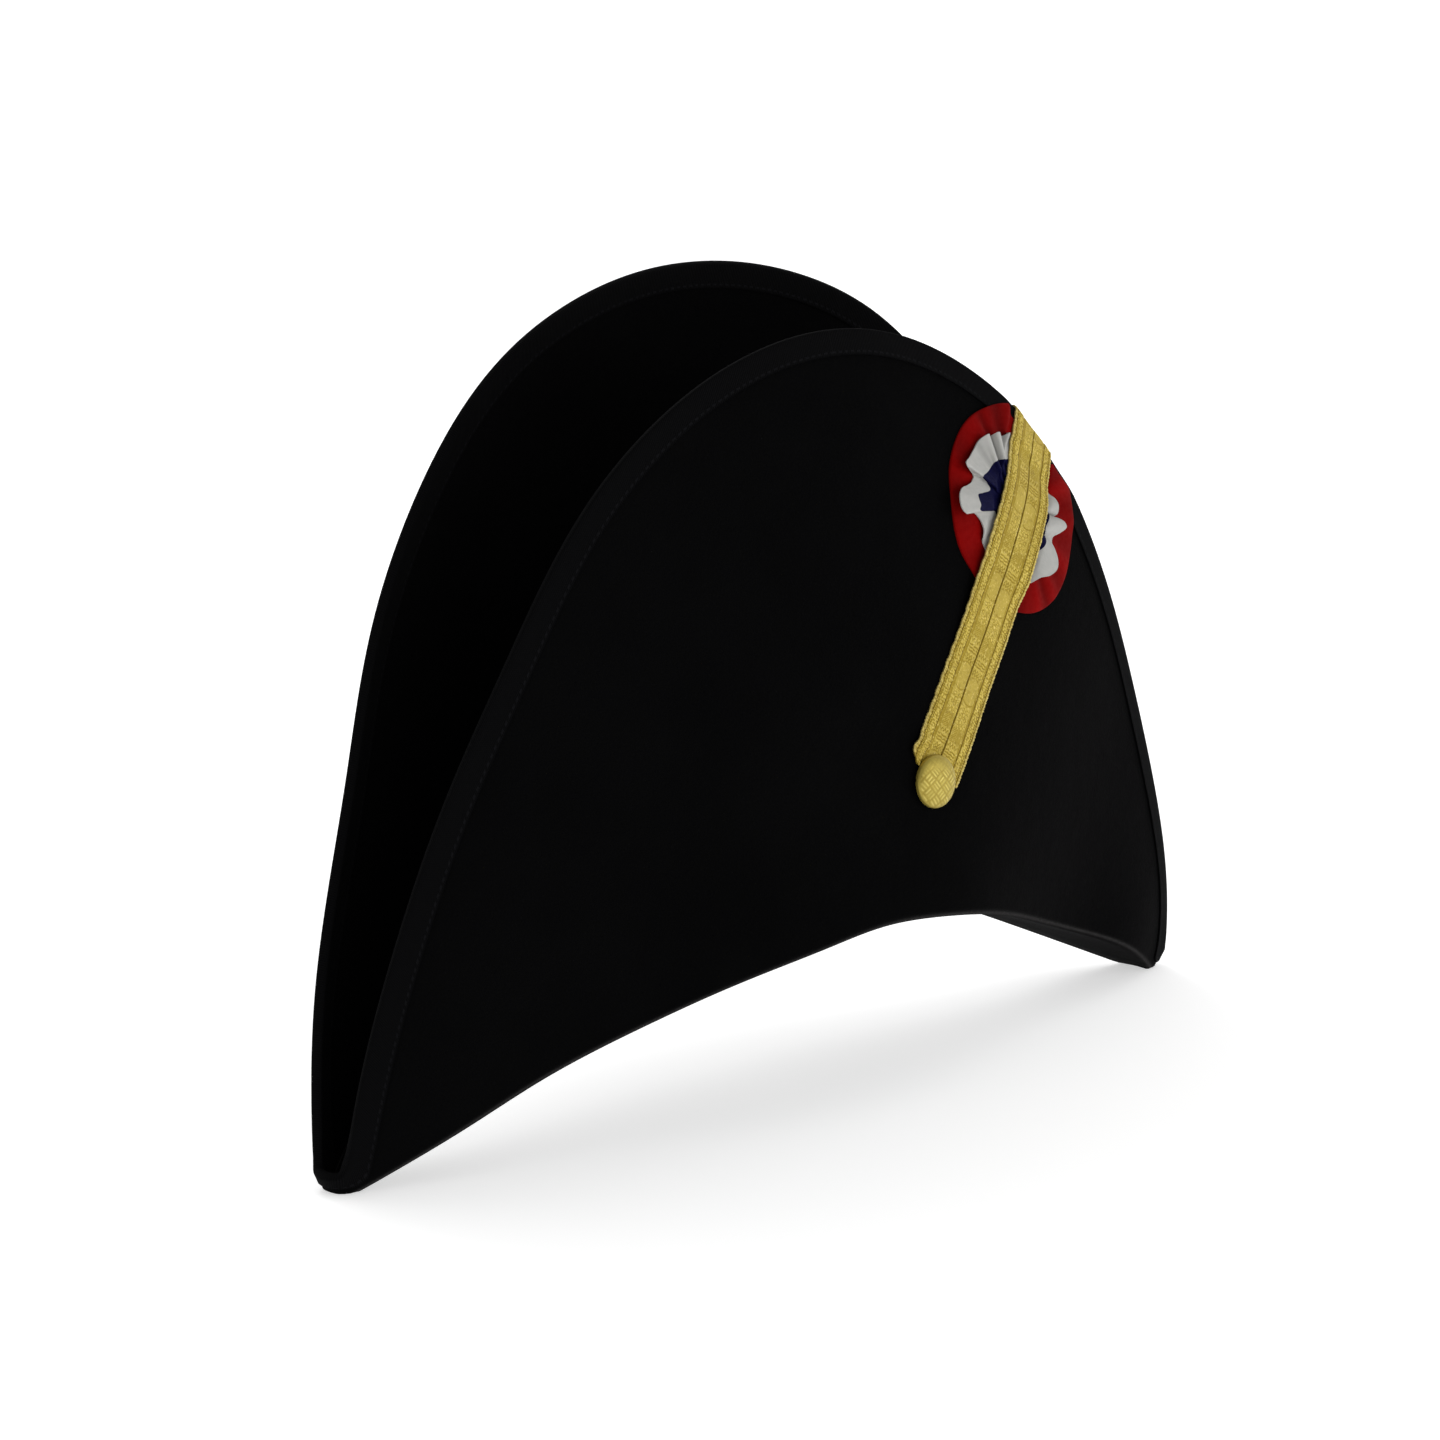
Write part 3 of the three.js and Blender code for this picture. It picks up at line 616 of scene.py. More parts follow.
def make_felt():
    """The felt, with its points pressed flat; gives back its lines, and its rows and their normals."""
    lines = hat_lines(76, 22)
    crown, corner, underside = 16, 9, 9
    rows, normals = felt_rows(lines, crown, corner, underside, 42, BINDING["rows"])
    # A painted highlight along the lower fold: these values peak on the fold's rows and go to the felt as
    # its relief values.
    from_fold = np.arange(len(rows))[:, None] - (crown + underside - 1 + 1.5 * corner)
    wear_and_crease_highlight = np.exp(-((from_fold / 1.6) ** 2))
    pattern = Pattern()
    sides = []
    for offset, floor in ((WALL / 2, WALL), (-WALL / 2, 0)):
        layer = rows + normals * offset
        layer[..., 2] = np.maximum(layer[..., 2], floor)
        sides.append(pattern.add(layer, wear_and_crease_highlight))
    up, low = sides
    pattern.layers(up, low, thread_map(run_lengths(rows[-1], True), run_lengths(rows[:, 0])))
    pattern.tips(UP * (CROWN_TOP + WALL / 2), UP * (CROWN_TOP - WALL / 2), up, low)
    pattern.build("felt_hat", felt_material(), "felt_body", "felt", sharp=60)
    return lines, rows, normals


def make_binding(lines, rows, normals):
    """The ribbon folded over the edge: up one side of the felt, round its rim and down the other."""
    bound = BINDING["rows"]
    inner = WALL / 2 + GAP
    top = GAP + BINDING["from_rim"]
    rim, out, rise = rows[-1], normals[-1], lines.rise

    def half_turn(reach, top, steps=8):
        for i in range(1, steps):
            a = math.pi * i / steps
            yield rim - out * (reach * math.cos(a)) + rise * (top * math.sin(a))

    def path(reach, top):
        legs = [rows[-1 - back] - normals[-1 - back] * reach for back in range(bound, -1, -1)]
        far = [rows[-1 - back] + normals[-1 - back] * reach for back in range(bound + 1)]
        return np.array([*legs, *half_turn(reach, top), *far])

    outside = path(inner + BINDING["thickness"], top + BINDING["thickness"])
    inside = path(inner, top)
    pattern = Pattern()
    out_index, in_index = wrapped(pattern.add(outside)), wrapped(pattern.add(inside))
    down = run_lengths(outside[:, 0])
    uv = thread_map(run_lengths(rim, True), np.minimum(down, down[-1] - down))
    pattern.quads(out_index, uv, flip=True)
    pattern.quads(in_index, uv)
    for row, flip in ((0, False), (-1, True)):
        pattern.side(out_index[row], in_index[row], uv[row], 0, flip)
    pattern.build("edge_ribbon", binding_material(), "edge_binding", "binding")


# Places on the front flap

Place = namedtuple("Place", "point outward rise height to_edge x z")


def turn_between(a, b):
    """The cross product of two vectors, as seen from the front."""
    return a[..., 0] * b[..., 2] - a[..., 2] * b[..., 0]


def on_front_flap(x, z):
    """The middle of the felt on the front flap at given x and z."""
    x, z = np.broadcast_arrays(np.asarray(x, float), np.asarray(z, float))
    wanted = np.stack([x, 0 * x, z], axis=-1)

    def slopes(s, h, step=1e-4):
        p, by_station, by_height = (
            flap_point(flap_lines(1, FRONT, s + ds), h + dh) for ds, dh in ((0, 0), (step, 0), (0, step))
        )
        return p, (by_station - p) / step, (by_height - p) / step

    station, height = x / SPAN, np.full(x.shape, 0.5)
    for _ in range(9):
        p, by_station, by_height = slopes(station, height)
        both = turn_between(by_station, by_height)
        station = station + turn_between(wanted - p, by_height) / both
        height = height + turn_between(by_station, wanted - p) / both
    point, by_station, by_height = slopes(station, height)
    line = flap_lines(1, FRONT, station)
    to_edge = (1 - height) * size_of(line.fold - line.rim)
    outward = unit(np.cross(by_station, by_height))
    return Place(point, outward, line.rise, height, to_edge, x, z)


def bed_height(place):
    """How high above the felt's middle the trim lies, which is higher over the edge ribbon."""
    over = 1 - smooth(BINDING["width"] + 1, BINDING["width"] + 9, place.to_edge)
    return WALL / 2 + GAP + over * (BINDING["thickness"] + GAP)


def raised(place, height):
    return place.point + times(bed_height(place) + height, place.outward)


def strap_place(along, across):
    x = STRAP["x"] + STRAP["along_x"] * along + STRAP["along_z"] * across
    z = STRAP["z"] + STRAP["along_z"] * along - STRAP["along_x"] * across
    return x, z


def on_strap(x, z):
    """How far along the lace's course and across it a place is."""
    dx, dz = x - STRAP["x"], z - STRAP["z"]
    return dx * STRAP["along_x"] + dz * STRAP["along_z"], dx * STRAP["along_z"] - dz * STRAP["along_x"]


# By distance along the lace: the height of its underside above its bed, which the cockade under it sets,
# and how far its seam runs beside its straight course
LIFT_AT = [(0, 0), (42, 0), (50, 0.4), (58, 0.85), (66, 1.4), (74, 1.9), (82, 2.55), (90, 3.2), (98, 3.5)]
LIFT_AT += [(106, 3.6), (114, 3.2), (122, 2.9), (130, 2.0), (138, 0.6), (146, 0.3), (150, 0.1), (200, 0.1)]
SHIFT_AT = [(0, 0.9), (16, 1.1), (63, 0.9), (76, 0.2), (100, 0.1), (108, 0.5), (118, 1.3), (132, 1.4)]
SHIFT_AT += [(150, 0.9)]


def eased(table, reach, along):
    """A table of values by distance, averaged over a reach to both sides."""
    xs, ys = zip(*table)
    offsets = np.linspace(-reach, reach, 2 * reach + 1)
    return np.mean([np.interp(np.asarray(along) + o, xs, ys) for o in offsets], axis=0)


def lace_lift(along):
    return eased(LIFT_AT, 5, along)


def lace_shift(along):
    return eased(SHIFT_AT, 6, along)


def lace_tilt(along, across):
    """How much further the lace's right edge rides up on the ruffle."""
    return 1.4 * smooth(3, 14.6, across) * smooth(78, 92, along) * (1 - smooth(122, 138, along))


def room_at(place):
    """How high a layer of the cockade can be before it meets the lace, and 1 where the lace presses it."""
    along, across = on_strap(place.x, place.z)
    pressed = 1 - smooth(LACE["width"] + 0.3, LACE["width"] + 4, np.abs(across))
    return np.maximum(lace_lift(along) + lace_tilt(along, across) - 0.08, 0.02), pressed


seat = on_front_flap(COCKADE["x"], COCKADE["z"])
cockade_left = -unit(np.cross(UP, seat.outward))
cockade_down = -unit(np.cross(cockade_left, seat.outward))


def cockade_place(radius, angle):
    """A place on the flap, by its distance from the cockade's middle and its angle down from the left."""
    left, down = radius * np.cos(angle), radius * np.sin(angle)
    p = seat.point + times(left, cockade_left) + times(down, cockade_down)
    return on_front_flap(p[..., 0], p[..., 2])


def round_curve(table, angle):
    """A smooth closed curve through values at given angles in degrees."""
    degrees, values = np.array(sorted((a % 360, v) for a, v in table)).T
    degrees = np.concatenate([degrees[-2:] - 360, degrees, degrees[:2] + 360])
    values = np.concatenate([values[-2:], values, values[:2]])
    slopes = np.zeros(len(values))
    slopes[1:-1] = (values[2:] - values[:-2]) / (degrees[2:] - degrees[:-2])
    at = np.degrees(angle) % 360
    i = np.clip(np.searchsorted(degrees, at, side="right") - 1, 1, len(degrees) - 3)
    width = degrees[i + 1] - degrees[i]
    t = (at - degrees[i]) / width
    flat = (2 * t**3 - 3 * t**2 + 1) * values[i] + (3 * t**2 - 2 * t**3) * values[i + 1]
    return flat + width * ((t**3 - 2 * t**2 + t) * slopes[i] + (t**3 - t**2) * slopes[i + 1])


# The red ribbon's outline: angle down from the left, radius
RED_RADII = [(-87, 40.8), (-51, 43.2), (-29, 43.3), (-12, 41.4), (13, 41.6), (31, 40.1), (53, 40.6)]
RED_RADII += [(80, 41.2), (92, 42.4), (124, 45.2), (143, 44.8), (162, 44.8), (180, 43.5), (-166, 43)]
RED_RADII += [(-150, 44), (-127, 42)]
RED = {"height": 1.8, "rim": 0.5, "least": 0.6, "fold": 2.8, "shade": 0.16, "columns": 360}

# Radial folds of the red ribbon: angle and half width in degrees, and depth, which is negative on a crest
RED_FOLDS = [(-88, 7, 0.34), (-72, 3.5, 0.28), (-44, 8, 0.2), (-20, 6, 0.12), (25, 8, 0.15)]
RED_FOLDS += [(48, 5, 0.24), (75, 10, 0.34), (108, 4, 0.24), (126, 6, 0.2), (150, 8, 0.18)]
RED_FOLDS += [(172, 7, 0.2), (-165, 5, 0.24), (-140, 8, 0.2), (-115, 8, 0.24), (-62, 6, -0.16)]
RED_FOLDS += [(-32, 6, -0.12), (10, 10, -0.1), (60, 6, -0.12), (98, 4, -0.15), (117, 4, -0.12)]
RED_FOLDS += [(138, 5, -0.15), (-176, 5, -0.15), (-152, 5, -0.12)]


def red_fold(angle, share):
    """The depth of the red ribbon's folds at an angle: below 0 on a crest, about a third in a hollow."""
    degrees = np.degrees(angle)
    depth = 0
    for middle, half, size in RED_FOLDS:
        away = (degrees - middle + 180) % 360 - 180
        depth = depth + size * np.exp(-((away / half) ** 2))
    return depth * smooth(0.3, 0.8, share)


def within_flap(radius, angle, free, pressed):
    """The radius, at most the one wanted, at which a piece of the cockade stays on the flap."""
    for _ in range(60):
        place = cockade_place(radius, angle)
        short = place.to_edge < mix(free, pressed, room_at(place)[1])
        if not short.any():
            break
        radius = np.where(short, radius - 0.4, radius)
    return radius


def red_top(place, share, angle):
    folded = RED["height"] - RED["fold"] * red_fold(angle, share)
    rounding = np.sqrt(np.maximum(0, 1 - share**10))
    free = mix(RED["rim"], np.maximum(folded, RED["least"]), rounding)
    room, pressed = room_at(place)
    return mix(free, np.minimum(free, 0.45 * room), pressed)


def make_red():
    angle = np.linspace(0, math.tau, RED["columns"], endpoint=False)
    radii = within_flap(round_curve(RED_RADII, angle), angle, 1.3, 5)
    rings = np.concatenate([np.linspace(0.04, 0.93, 26), [0.95, 0.965, 0.978, 0.988, 0.995, 1.0]])
    share = rings[:, None]
    place = cockade_place(share * radii, angle)
    # The folds also set the colour: painted shade in their hollows, and a painted highlight on their
    # crests, which are darkened less than the rest of the disc.
    shade = np.clip(RED["shade"] + red_fold(angle, share), 0, 1)
    upper = raised(place, red_top(place, share, angle))
    pattern = Pattern()
    up, low = pattern.add(upper, shade), pattern.add(raised(place, 0), shade)
    pattern.layers(up, low, thread_map(run_lengths(upper[-1], True), run_lengths(upper[:, 0])))
    pattern.tips(raised(seat, red_top(seat, 0, 0)), raised(seat, 0), up, low)
    look = ribbon_material("red_ribbon", rgb(132, 6, 6), rgb(138, 8, 7), 0.02, 0.7, 0.02, 0.12)
    pattern.build("cockade_disc", look, "cockade_red", "ribbon_red")


# The ruffle once round. Each row has its free edge and the border between its colours: angle down from the
# left, radius and height above the bed.
RUFFLE_KEYS = [
    (-150, 27, 1.6, -150, 18, 1.5), (-102, 28.9, 2.2, -98.4, 18.9, 2),
    (-90, 28.9, 4.6, -82.1, 19.4, 3.6), (-85.2, 28.4, 2.4, -80.5, 19.7, 2.2),
    (-71, 32, 6.4, -69.3, 21, 5), (-69.5, 31.3, 2.6, -67.6, 21.4, 2.4),
    (-59.8, 35.1, 6.4, -56.3, 23.6, 5), (-55.1, 35.1, 3.6, -54.6, 23.2, 3.2),
    (-47, 35.2, 3, -45.7, 23.5, 2.8), (-38.5, 37.7, 4.5, -38.5, 25.7, 4),
    (-31.6, 41.2, 6.5, -32.7, 28.3, 5), (-31.3, 31.2, 2.2, -34.5, 23.6, 2.2),
    (-26, 31.9, 2.6, -28.1, 20.2, 2.6), (-21.2, 35.9, 3.5, -20.4, 25.3, 3.2),
    (-17.7, 40.9, 5, -17.1, 29.4, 4), (-13.3, 43.9, 6.5, -13.1, 30.2, 5),
    (-8.4, 44, 7, -9, 29.9, 5.5), (-4.9, 42.3, 7, -5.6, 31.4, 6),
    (-3.4, 30, 2.4, -2.8, 16.2, 2.3), (1.3, 27.7, 2.6, 2.6, 15.7, 2.4),
    (9.1, 27.6, 3.4, 9.3, 16, 2.6), (15.3, 28.9, 3.6, 17.1, 16.8, 2.6),
    (22.3, 28.9, 2.6, 24.9, 17.4, 2.2), (50, 30, 1.6, 50, 19, 1.5),
    (75, 30.5, 1.6, 75, 20, 1.5), (85.4, 30, 2, 103.3, 22.5, 2),
    (89.8, 29.9, 3.4, 107.7, 21.2, 3), (98.5, 29.1, 5, 110.1, 20.2, 4),
    (108.7, 30.4, 6.2, 114.6, 20.1, 4.6), (119, 30.8, 6.6, 119.9, 20.1, 5),
    (126.2, 29.2, 6, 127.7, 20.5, 4.5), (133.2, 27.2, 4.5, 133.2, 21, 3.6),
    (140.5, 26.6, 2.4, 139.2, 21.4, 2.2), (144.5, 25.6, 3.2, 139.6, 20.5, 2.6),
    (149.4, 27.3, 5, 140.1, 18.6, 4), (155.1, 29.5, 6.4, 145, 17.7, 5),
    (158.9, 28, 6.2, 152.7, 18.6, 4.8), (161.2, 25.4, 4.6, 160.3, 20.5, 3.8),
    (163.1, 25.8, 2.4, 164.6, 23.1, 2.2), (166.2, 26, 4.4, 166.3, 20.3, 3.4),
    (172.9, 25.6, 5.2, 170.9, 19.2, 4), (178.6, 25, 4.4, 176.6, 20, 3.2),
    (184.4, 24.2, 2.6, 181.7, 21.4, 2.2),
]


def ruffle_curves(count):
    """Smooth closed curves through the ruffle's keys, evenly spaced along its free edge."""
    degrees, radius, height = np.moveaxis(np.reshape(RUFFLE_KEYS, (-1, 2, 3)), -1, 0)
    angle = np.radians(degrees)
    points = np.stack([radius * np.cos(angle), radius * np.sin(angle), height], axis=-1)
    keys = np.column_stack([points.reshape(-1, 6), np.unwrap(angle[:, 1])])
    turn = np.array([0, 0, 0, 0, 0, 0, math.tau])
    padded = np.concatenate([keys[-2:] - turn, keys, keys[:2] + turn])
    knots = summed(size_of(np.diff(padded[:, :6], axis=0)) ** 0.5)

    def at(u):
        i = np.clip(np.searchsorted(knots, u, side="right") - 1, 1, len(knots) - 3)
        p, t = ([row[i + k] for k in (-1, 0, 1, 2)] for row in (padded, knots[:, None]))
        u = u[:, None]
        a = [mix(p[k], p[k + 1], (u - t[k]) / (t[k + 1] - t[k])) for k in range(3)]
        b = [mix(a[k], a[k + 1], (u - t[k]) / (t[k + 2] - t[k])) for k in range(2)]
        return mix(b[0], b[1], (u - t[1]) / (t[2] - t[1]))

    fine = np.linspace(knots[2], knots[-2], 6000)
    lengths = run_lengths(at(fine)[:, :3])
    even = np.interp(np.linspace(0, lengths[-1], count + 1)[:-1], lengths, fine)
    return at(even), lengths[-1]


RUFFLE = {"sheet": 0.5, "columns": 640, "calming": 61, "over_red": 0.15}


def ruffle_surface(share):
    """The ruffle's middle surface, its thickness, the length of its free edge and the painted shade in its
    pleats.

    A share is 0 at the eye, 0.5 at the border between the colours and 1 at the free edge.
    """
    keys, length = ruffle_curves(RUFFLE["columns"])
    ex, ey, eh, bx, by, bh, turn = keys.T
    window = RUFFLE["calming"]
    kernel = np.hanning(window + 2)[1:-1]
    kernel /= kernel.sum()
    spun = np.concatenate([turn[-window:] - math.tau, turn, turn[:window] + math.tau])
    calm = np.convolve(spun, kernel, mode="same")[window:-window]
    ix, iy = COCKADE["eye"] * np.cos(calm), COCKADE["eye"] * np.sin(calm)
    share = share[:, None]
    inner, outer = np.clip(share * 2, 0, 1), np.clip(share * 2 - 1, 0, 1)

    def between(eye, border, edge, inner=inner):
        return np.where(share <= 0.5, mix(eye, border, inner), mix(border, edge, outer))

    x, y = between(ix, bx, ex), between(iy, by, ey)
    radius, angle = np.hypot(x, y), np.arctan2(y, x)
    place = cockade_place(radius, angle)
    base = red_top(place, radius / 42.0, angle)
    sheet = RUFFLE["sheet"]
    free = between(base + 0.4, bh, eh, inner**0.8)
    free = np.maximum(free, base + sheet / 2 + RUFFLE["over_red"])
    room, pressed = room_at(place)
    lowest, highest = 0.5 * room, 0.97 * room - sheet / 2
    squeezed = np.clip(0.6 * free, lowest, np.maximum(highest, lowest))
    level = mix(free, np.minimum(squeezed, free), pressed)
    thickness = mix(sheet, np.minimum(sheet, 0.35 * room), pressed)
    calm = np.degrees(calm)
    # Painted shade in the low pleats at the top of the ruffle, carried as its relief values.
    top = smooth(-108, -100, calm) * (1 - smooth(-52, -46, calm))
    hollow = 0.5 * top * (1 - smooth(2.2, 4.2, eh))
    return raised(place, level), thickness, length, hollow


def make_ruffle(name, node, slot, look, shares):
    """One colour of the ruffle; gives back the piece and its flat length and width in metres."""
    middle, thickness, length, hollow = ruffle_surface(shares)
    half = times(thickness / 2, normals_of(middle))
    pattern = Pattern()
    up, low = pattern.add(middle + half, hollow), pattern.add(middle - half, hollow)
    down = np.diff(middle, axis=0)
    across = summed(size_of(down).mean(axis=1))
    uv = thread_map(np.linspace(0, length, middle.shape[1] + 1), across)
    pattern.layers(up, low, uv)
    pattern.quads(wrapped(np.stack([low[0], up[0]])), uv[:2])
    piece = pattern.build(name, look, node, slot)
    area = size_of(np.cross(np.diff(wrapped(middle)[:-1], axis=1), down)).sum()
    width = float(across[-1])
    return piece, area / width * MM, width * MM


def make_cockade():
    """The cockade's three colours; gives back what the two parts of the ruffle need to be sheets."""
    make_red()
    white = ribbon_material("white_ribbon", rgb(182, 182, 178), rgb(188, 187, 183), 0.04, 0.75, 0.1, 0.3)
    blue = ribbon_material("blue_ribbon", rgb(14, 14, 50), rgb(17, 17, 58), 0.15, 0.65, 0.03)
    return [
        make_ruffle("ruffle_white", "cockade_white", "ribbon_white", white, np.linspace(0.5, 1, 20)),
        make_ruffle("ruffle_blue", "cockade_blue", "ribbon_blue", blue, np.linspace(0.0, 0.5, 26)),
    ]


# Gold lace


def ridge(value):
    """Smooth ridges from 0 to 1, with a crest at every whole value."""
    return 0.5 + 0.5 * np.cos(math.tau * value)


def within(low, high, value, soft=0.12):
    """1 between low and high, 0 outside them."""
    return smooth(low - soft, low + soft, value) * (1 - smooth(high - soft, high + soft, value))


def thin(distance, half=0.15):
    """1 on a thin dark line, 0 away from it."""
    return 1 - smooth(half, half + 0.24, np.abs(distance))


def curls(along, q, size, seed):
    """Small uneven loops of thread, one to each jittered cell, from 0 between them to 1 on them."""
    columns, rows = 256, 64
    jitter = np.random.default_rng(seed).uniform(-0.3, 0.3, (columns, rows, 2))
    column, row = np.floor(along / size).astype(int), np.floor(q / size).astype(int)
    nearest = np.full(np.broadcast(along, q).shape, 9.0)
    for i in (-1, 0, 1):
        for j in (-1, 0, 1):
            off = jitter[(column + i) % columns, (row + j) % rows]
            away_along = along / size - (column + i + 0.5 + off[..., 0])
            away_across = q / size - (row + j + 0.5 + off[..., 1])
            nearest = np.minimum(nearest, np.hypot(away_along, 0.8 * away_across))
    return 1 - smooth(0.2, 0.62, nearest)


# The ornament's length of repeat
FIELD_PERIOD = 38.0

# Roundels between the hatched peak and the plain leaf: distance above the chevrons, place across, radius
ROUNDELS = [(11.6, -0.9, 0.7), (11.5, 1.2, 0.55), (13.4, 0.5, 0.75), (15.1, -1.5, 0.5), (15.2, 1.6, 0.55)]
ROUNDELS += [(16.7, 0.1, 0.75), (18.6, 1.3, 0.5), (18.5, -1.4, 0.55)]


def central_field(along, q, width):
    """The repeating ornament of the lace's middle stripe; q runs over its width."""
    t = (along + FIELD_PERIOD / 2) % FIELD_PERIOD - FIELD_PERIOD / 2
    above = t % FIELD_PERIOD
    mid = q - width / 2
    relief = 0.6 + 0.08 * ridge((along + 0.8 * mid) / 0.62)
    dark = np.zeros_like(relief)
    tooth = 2 * np.abs((mid / 1.55 + 0.25) % 1 - 0.5)
    for middle, rise in ((-3.3, 1.5), (3.3, 1.5), (-4.7, 0.9)):
        dark = np.maximum(dark, thin(t - middle + rise * (tooth - 0.5)))
    for middle in (-1.3, -0.1, 1.1):
        dark = np.maximum(dark, thin(t - middle + 0.12 * np.sin(2.3 * mid + middle), 0.13))
    chevrons = within(-5.2, 4.6, t)
    relief = mix(relief, 0.66 + 0.15 * ridge((t - 0.5 * mid) / 1.2), chevrons)
    for low, turn in ((21.0, 1), (32.2, -1)):
        bow = low + turn * 0.12 * mid**2
        dark = np.maximum(dark, 0.8 * thin(above - bow, 0.1))
    peak = within(4.6, 10.6, above)
    hatch = np.abs((above + 1.1 * np.abs(mid - 0.4)) / 1.15 % 1 - 0.5) * 1.15
    dark = np.maximum(dark, 0.75 * peak * thin(0.575 - hatch, 0.08))
    flowers = within(10.8, 20.4, above)
    relief = mix(relief, 0.5 + 0.35 * curls(along, q, 0.8, 7), flowers)
    for middle, across, radius in ROUNDELS:
        away = np.hypot(above - middle, mid - across)
        relief = mix(relief, 0.9, 1 - smooth(radius - 0.3, radius, away))
        dark = np.maximum(dark, 0.6 * thin(away - radius - 0.1, 0.05))
    inside = within(-width / 2 + 0.3, width / 2 - 0.3, mid, 0.2)
    return mix(relief, 0.16, 0.8 * dark * inside)


# What differs between the left run, -1, and the right run, 1: how far from its outer selvage its border,
# groove and field end, where its field starts, how its seam line strays, the seed of its loops, how deep
# its scallops are, and its width
Run = namedtuple("Run", "border_end groove_end field_end shift stray seed scallop width")
RUNS = {
    -1: Run(6.2, 7.9, 14.3, -15.0, 0.22, 3, 0.32, LACE["width"] - 0.3),
    1: Run(6.0, 7.4, 14.2, -11.5, 0.1, 5, 0.12, LACE["width"]),
}


def lace_relief(along, q, hand):
    """The lace's relief from 0 to 1, by distance along it and from its outer selvage."""
    border_end, groove_end, field_end, shift, stray, seed = RUNS[hand][:6]
    uneven = 0.35 * np.sin(0.83 * along + 1.1 * hand) + 0.25 * np.sin(2.1 * along)
    relief = 0.35 + 0.6 * ridge((along + uneven) / 1.45 + 0.2 * q)
    seam_line = 1.45 + stray * np.sin(along * 1.31) * ridge(along / 7.3)
    beads = 0.15 + 0.75 * ridge((along + 0.5 * uneven) / 0.95)
    loops = 0.3 + 0.62 * curls(along, q + 0.4 * np.sin(along / 1.9), 1.05, seed)
    groove = 0.36 + 0.08 * ridge(along / 0.6)
    field = central_field(along + shift, q - groove_end, field_end - groove_end)
    stripes = (
        (0.0, 1, seam_line, seam_line + 0.5, 0.1),
        (beads, 1, seam_line + 0.5, 2.8, 0.15),
        (0.2, 1, 2.75, 3.05, 0.1),
        (loops, 1, 3.0, border_end, 0.12),
        (groove, 1, border_end, groove_end, 0.12),
        (0.1, 1, border_end - 0.15, border_end + 0.25, 0.12),
        (0.16, 0.7, groove_end - 0.15, groove_end + 0.15, 0.12),
        (field, 1, groove_end, field_end, 0.12),
        (0.15, 1, field_end, 20, 0.08),
    )
    for level, strength, low, high, soft in stripes:
        relief = mix(relief, level, strength * within(low, high, q, soft))
    return relief


def along_at_edge(across):
    """How far along its course the lace meets the flap's edge."""
    near, far = np.full(np.shape(across), 112.0), np.full(np.shape(across), 190.0)
    for _ in range(24):
        middle = (near + far) / 2
        inside = on_front_flap(*strap_place(middle, across)).height < 1
        near, far = np.where(inside, middle, near), np.where(inside, far, middle)
    return near


def thinner_edges(q, width):
    """How much thinner the lace is at its outer selvage and at the seam."""
    return 0.25 * (1 - smooth(0.0, 1.2, q)) + 0.3 * smooth(width - 0.35, width, q)


def puffed(along, across):
    """How far the left run's lower corner stands off the felt, where it turns in behind the button."""
    away = np.hypot(along + 0.9, across - 1.9)
    return 0.95 * smooth(11.0, 14.0, away) * (1 - smooth(8, 15, along)) * smooth(-5, -8, across)


# Where the left run starts, by share of its width from the seam
LACE_CORNER = [(0, 0.5, 0.62, 0.75, 0.88, 0.96, 1), (0.5, 0.3, 0.2, 0.9, 2.0, 2.9, 3.9)]


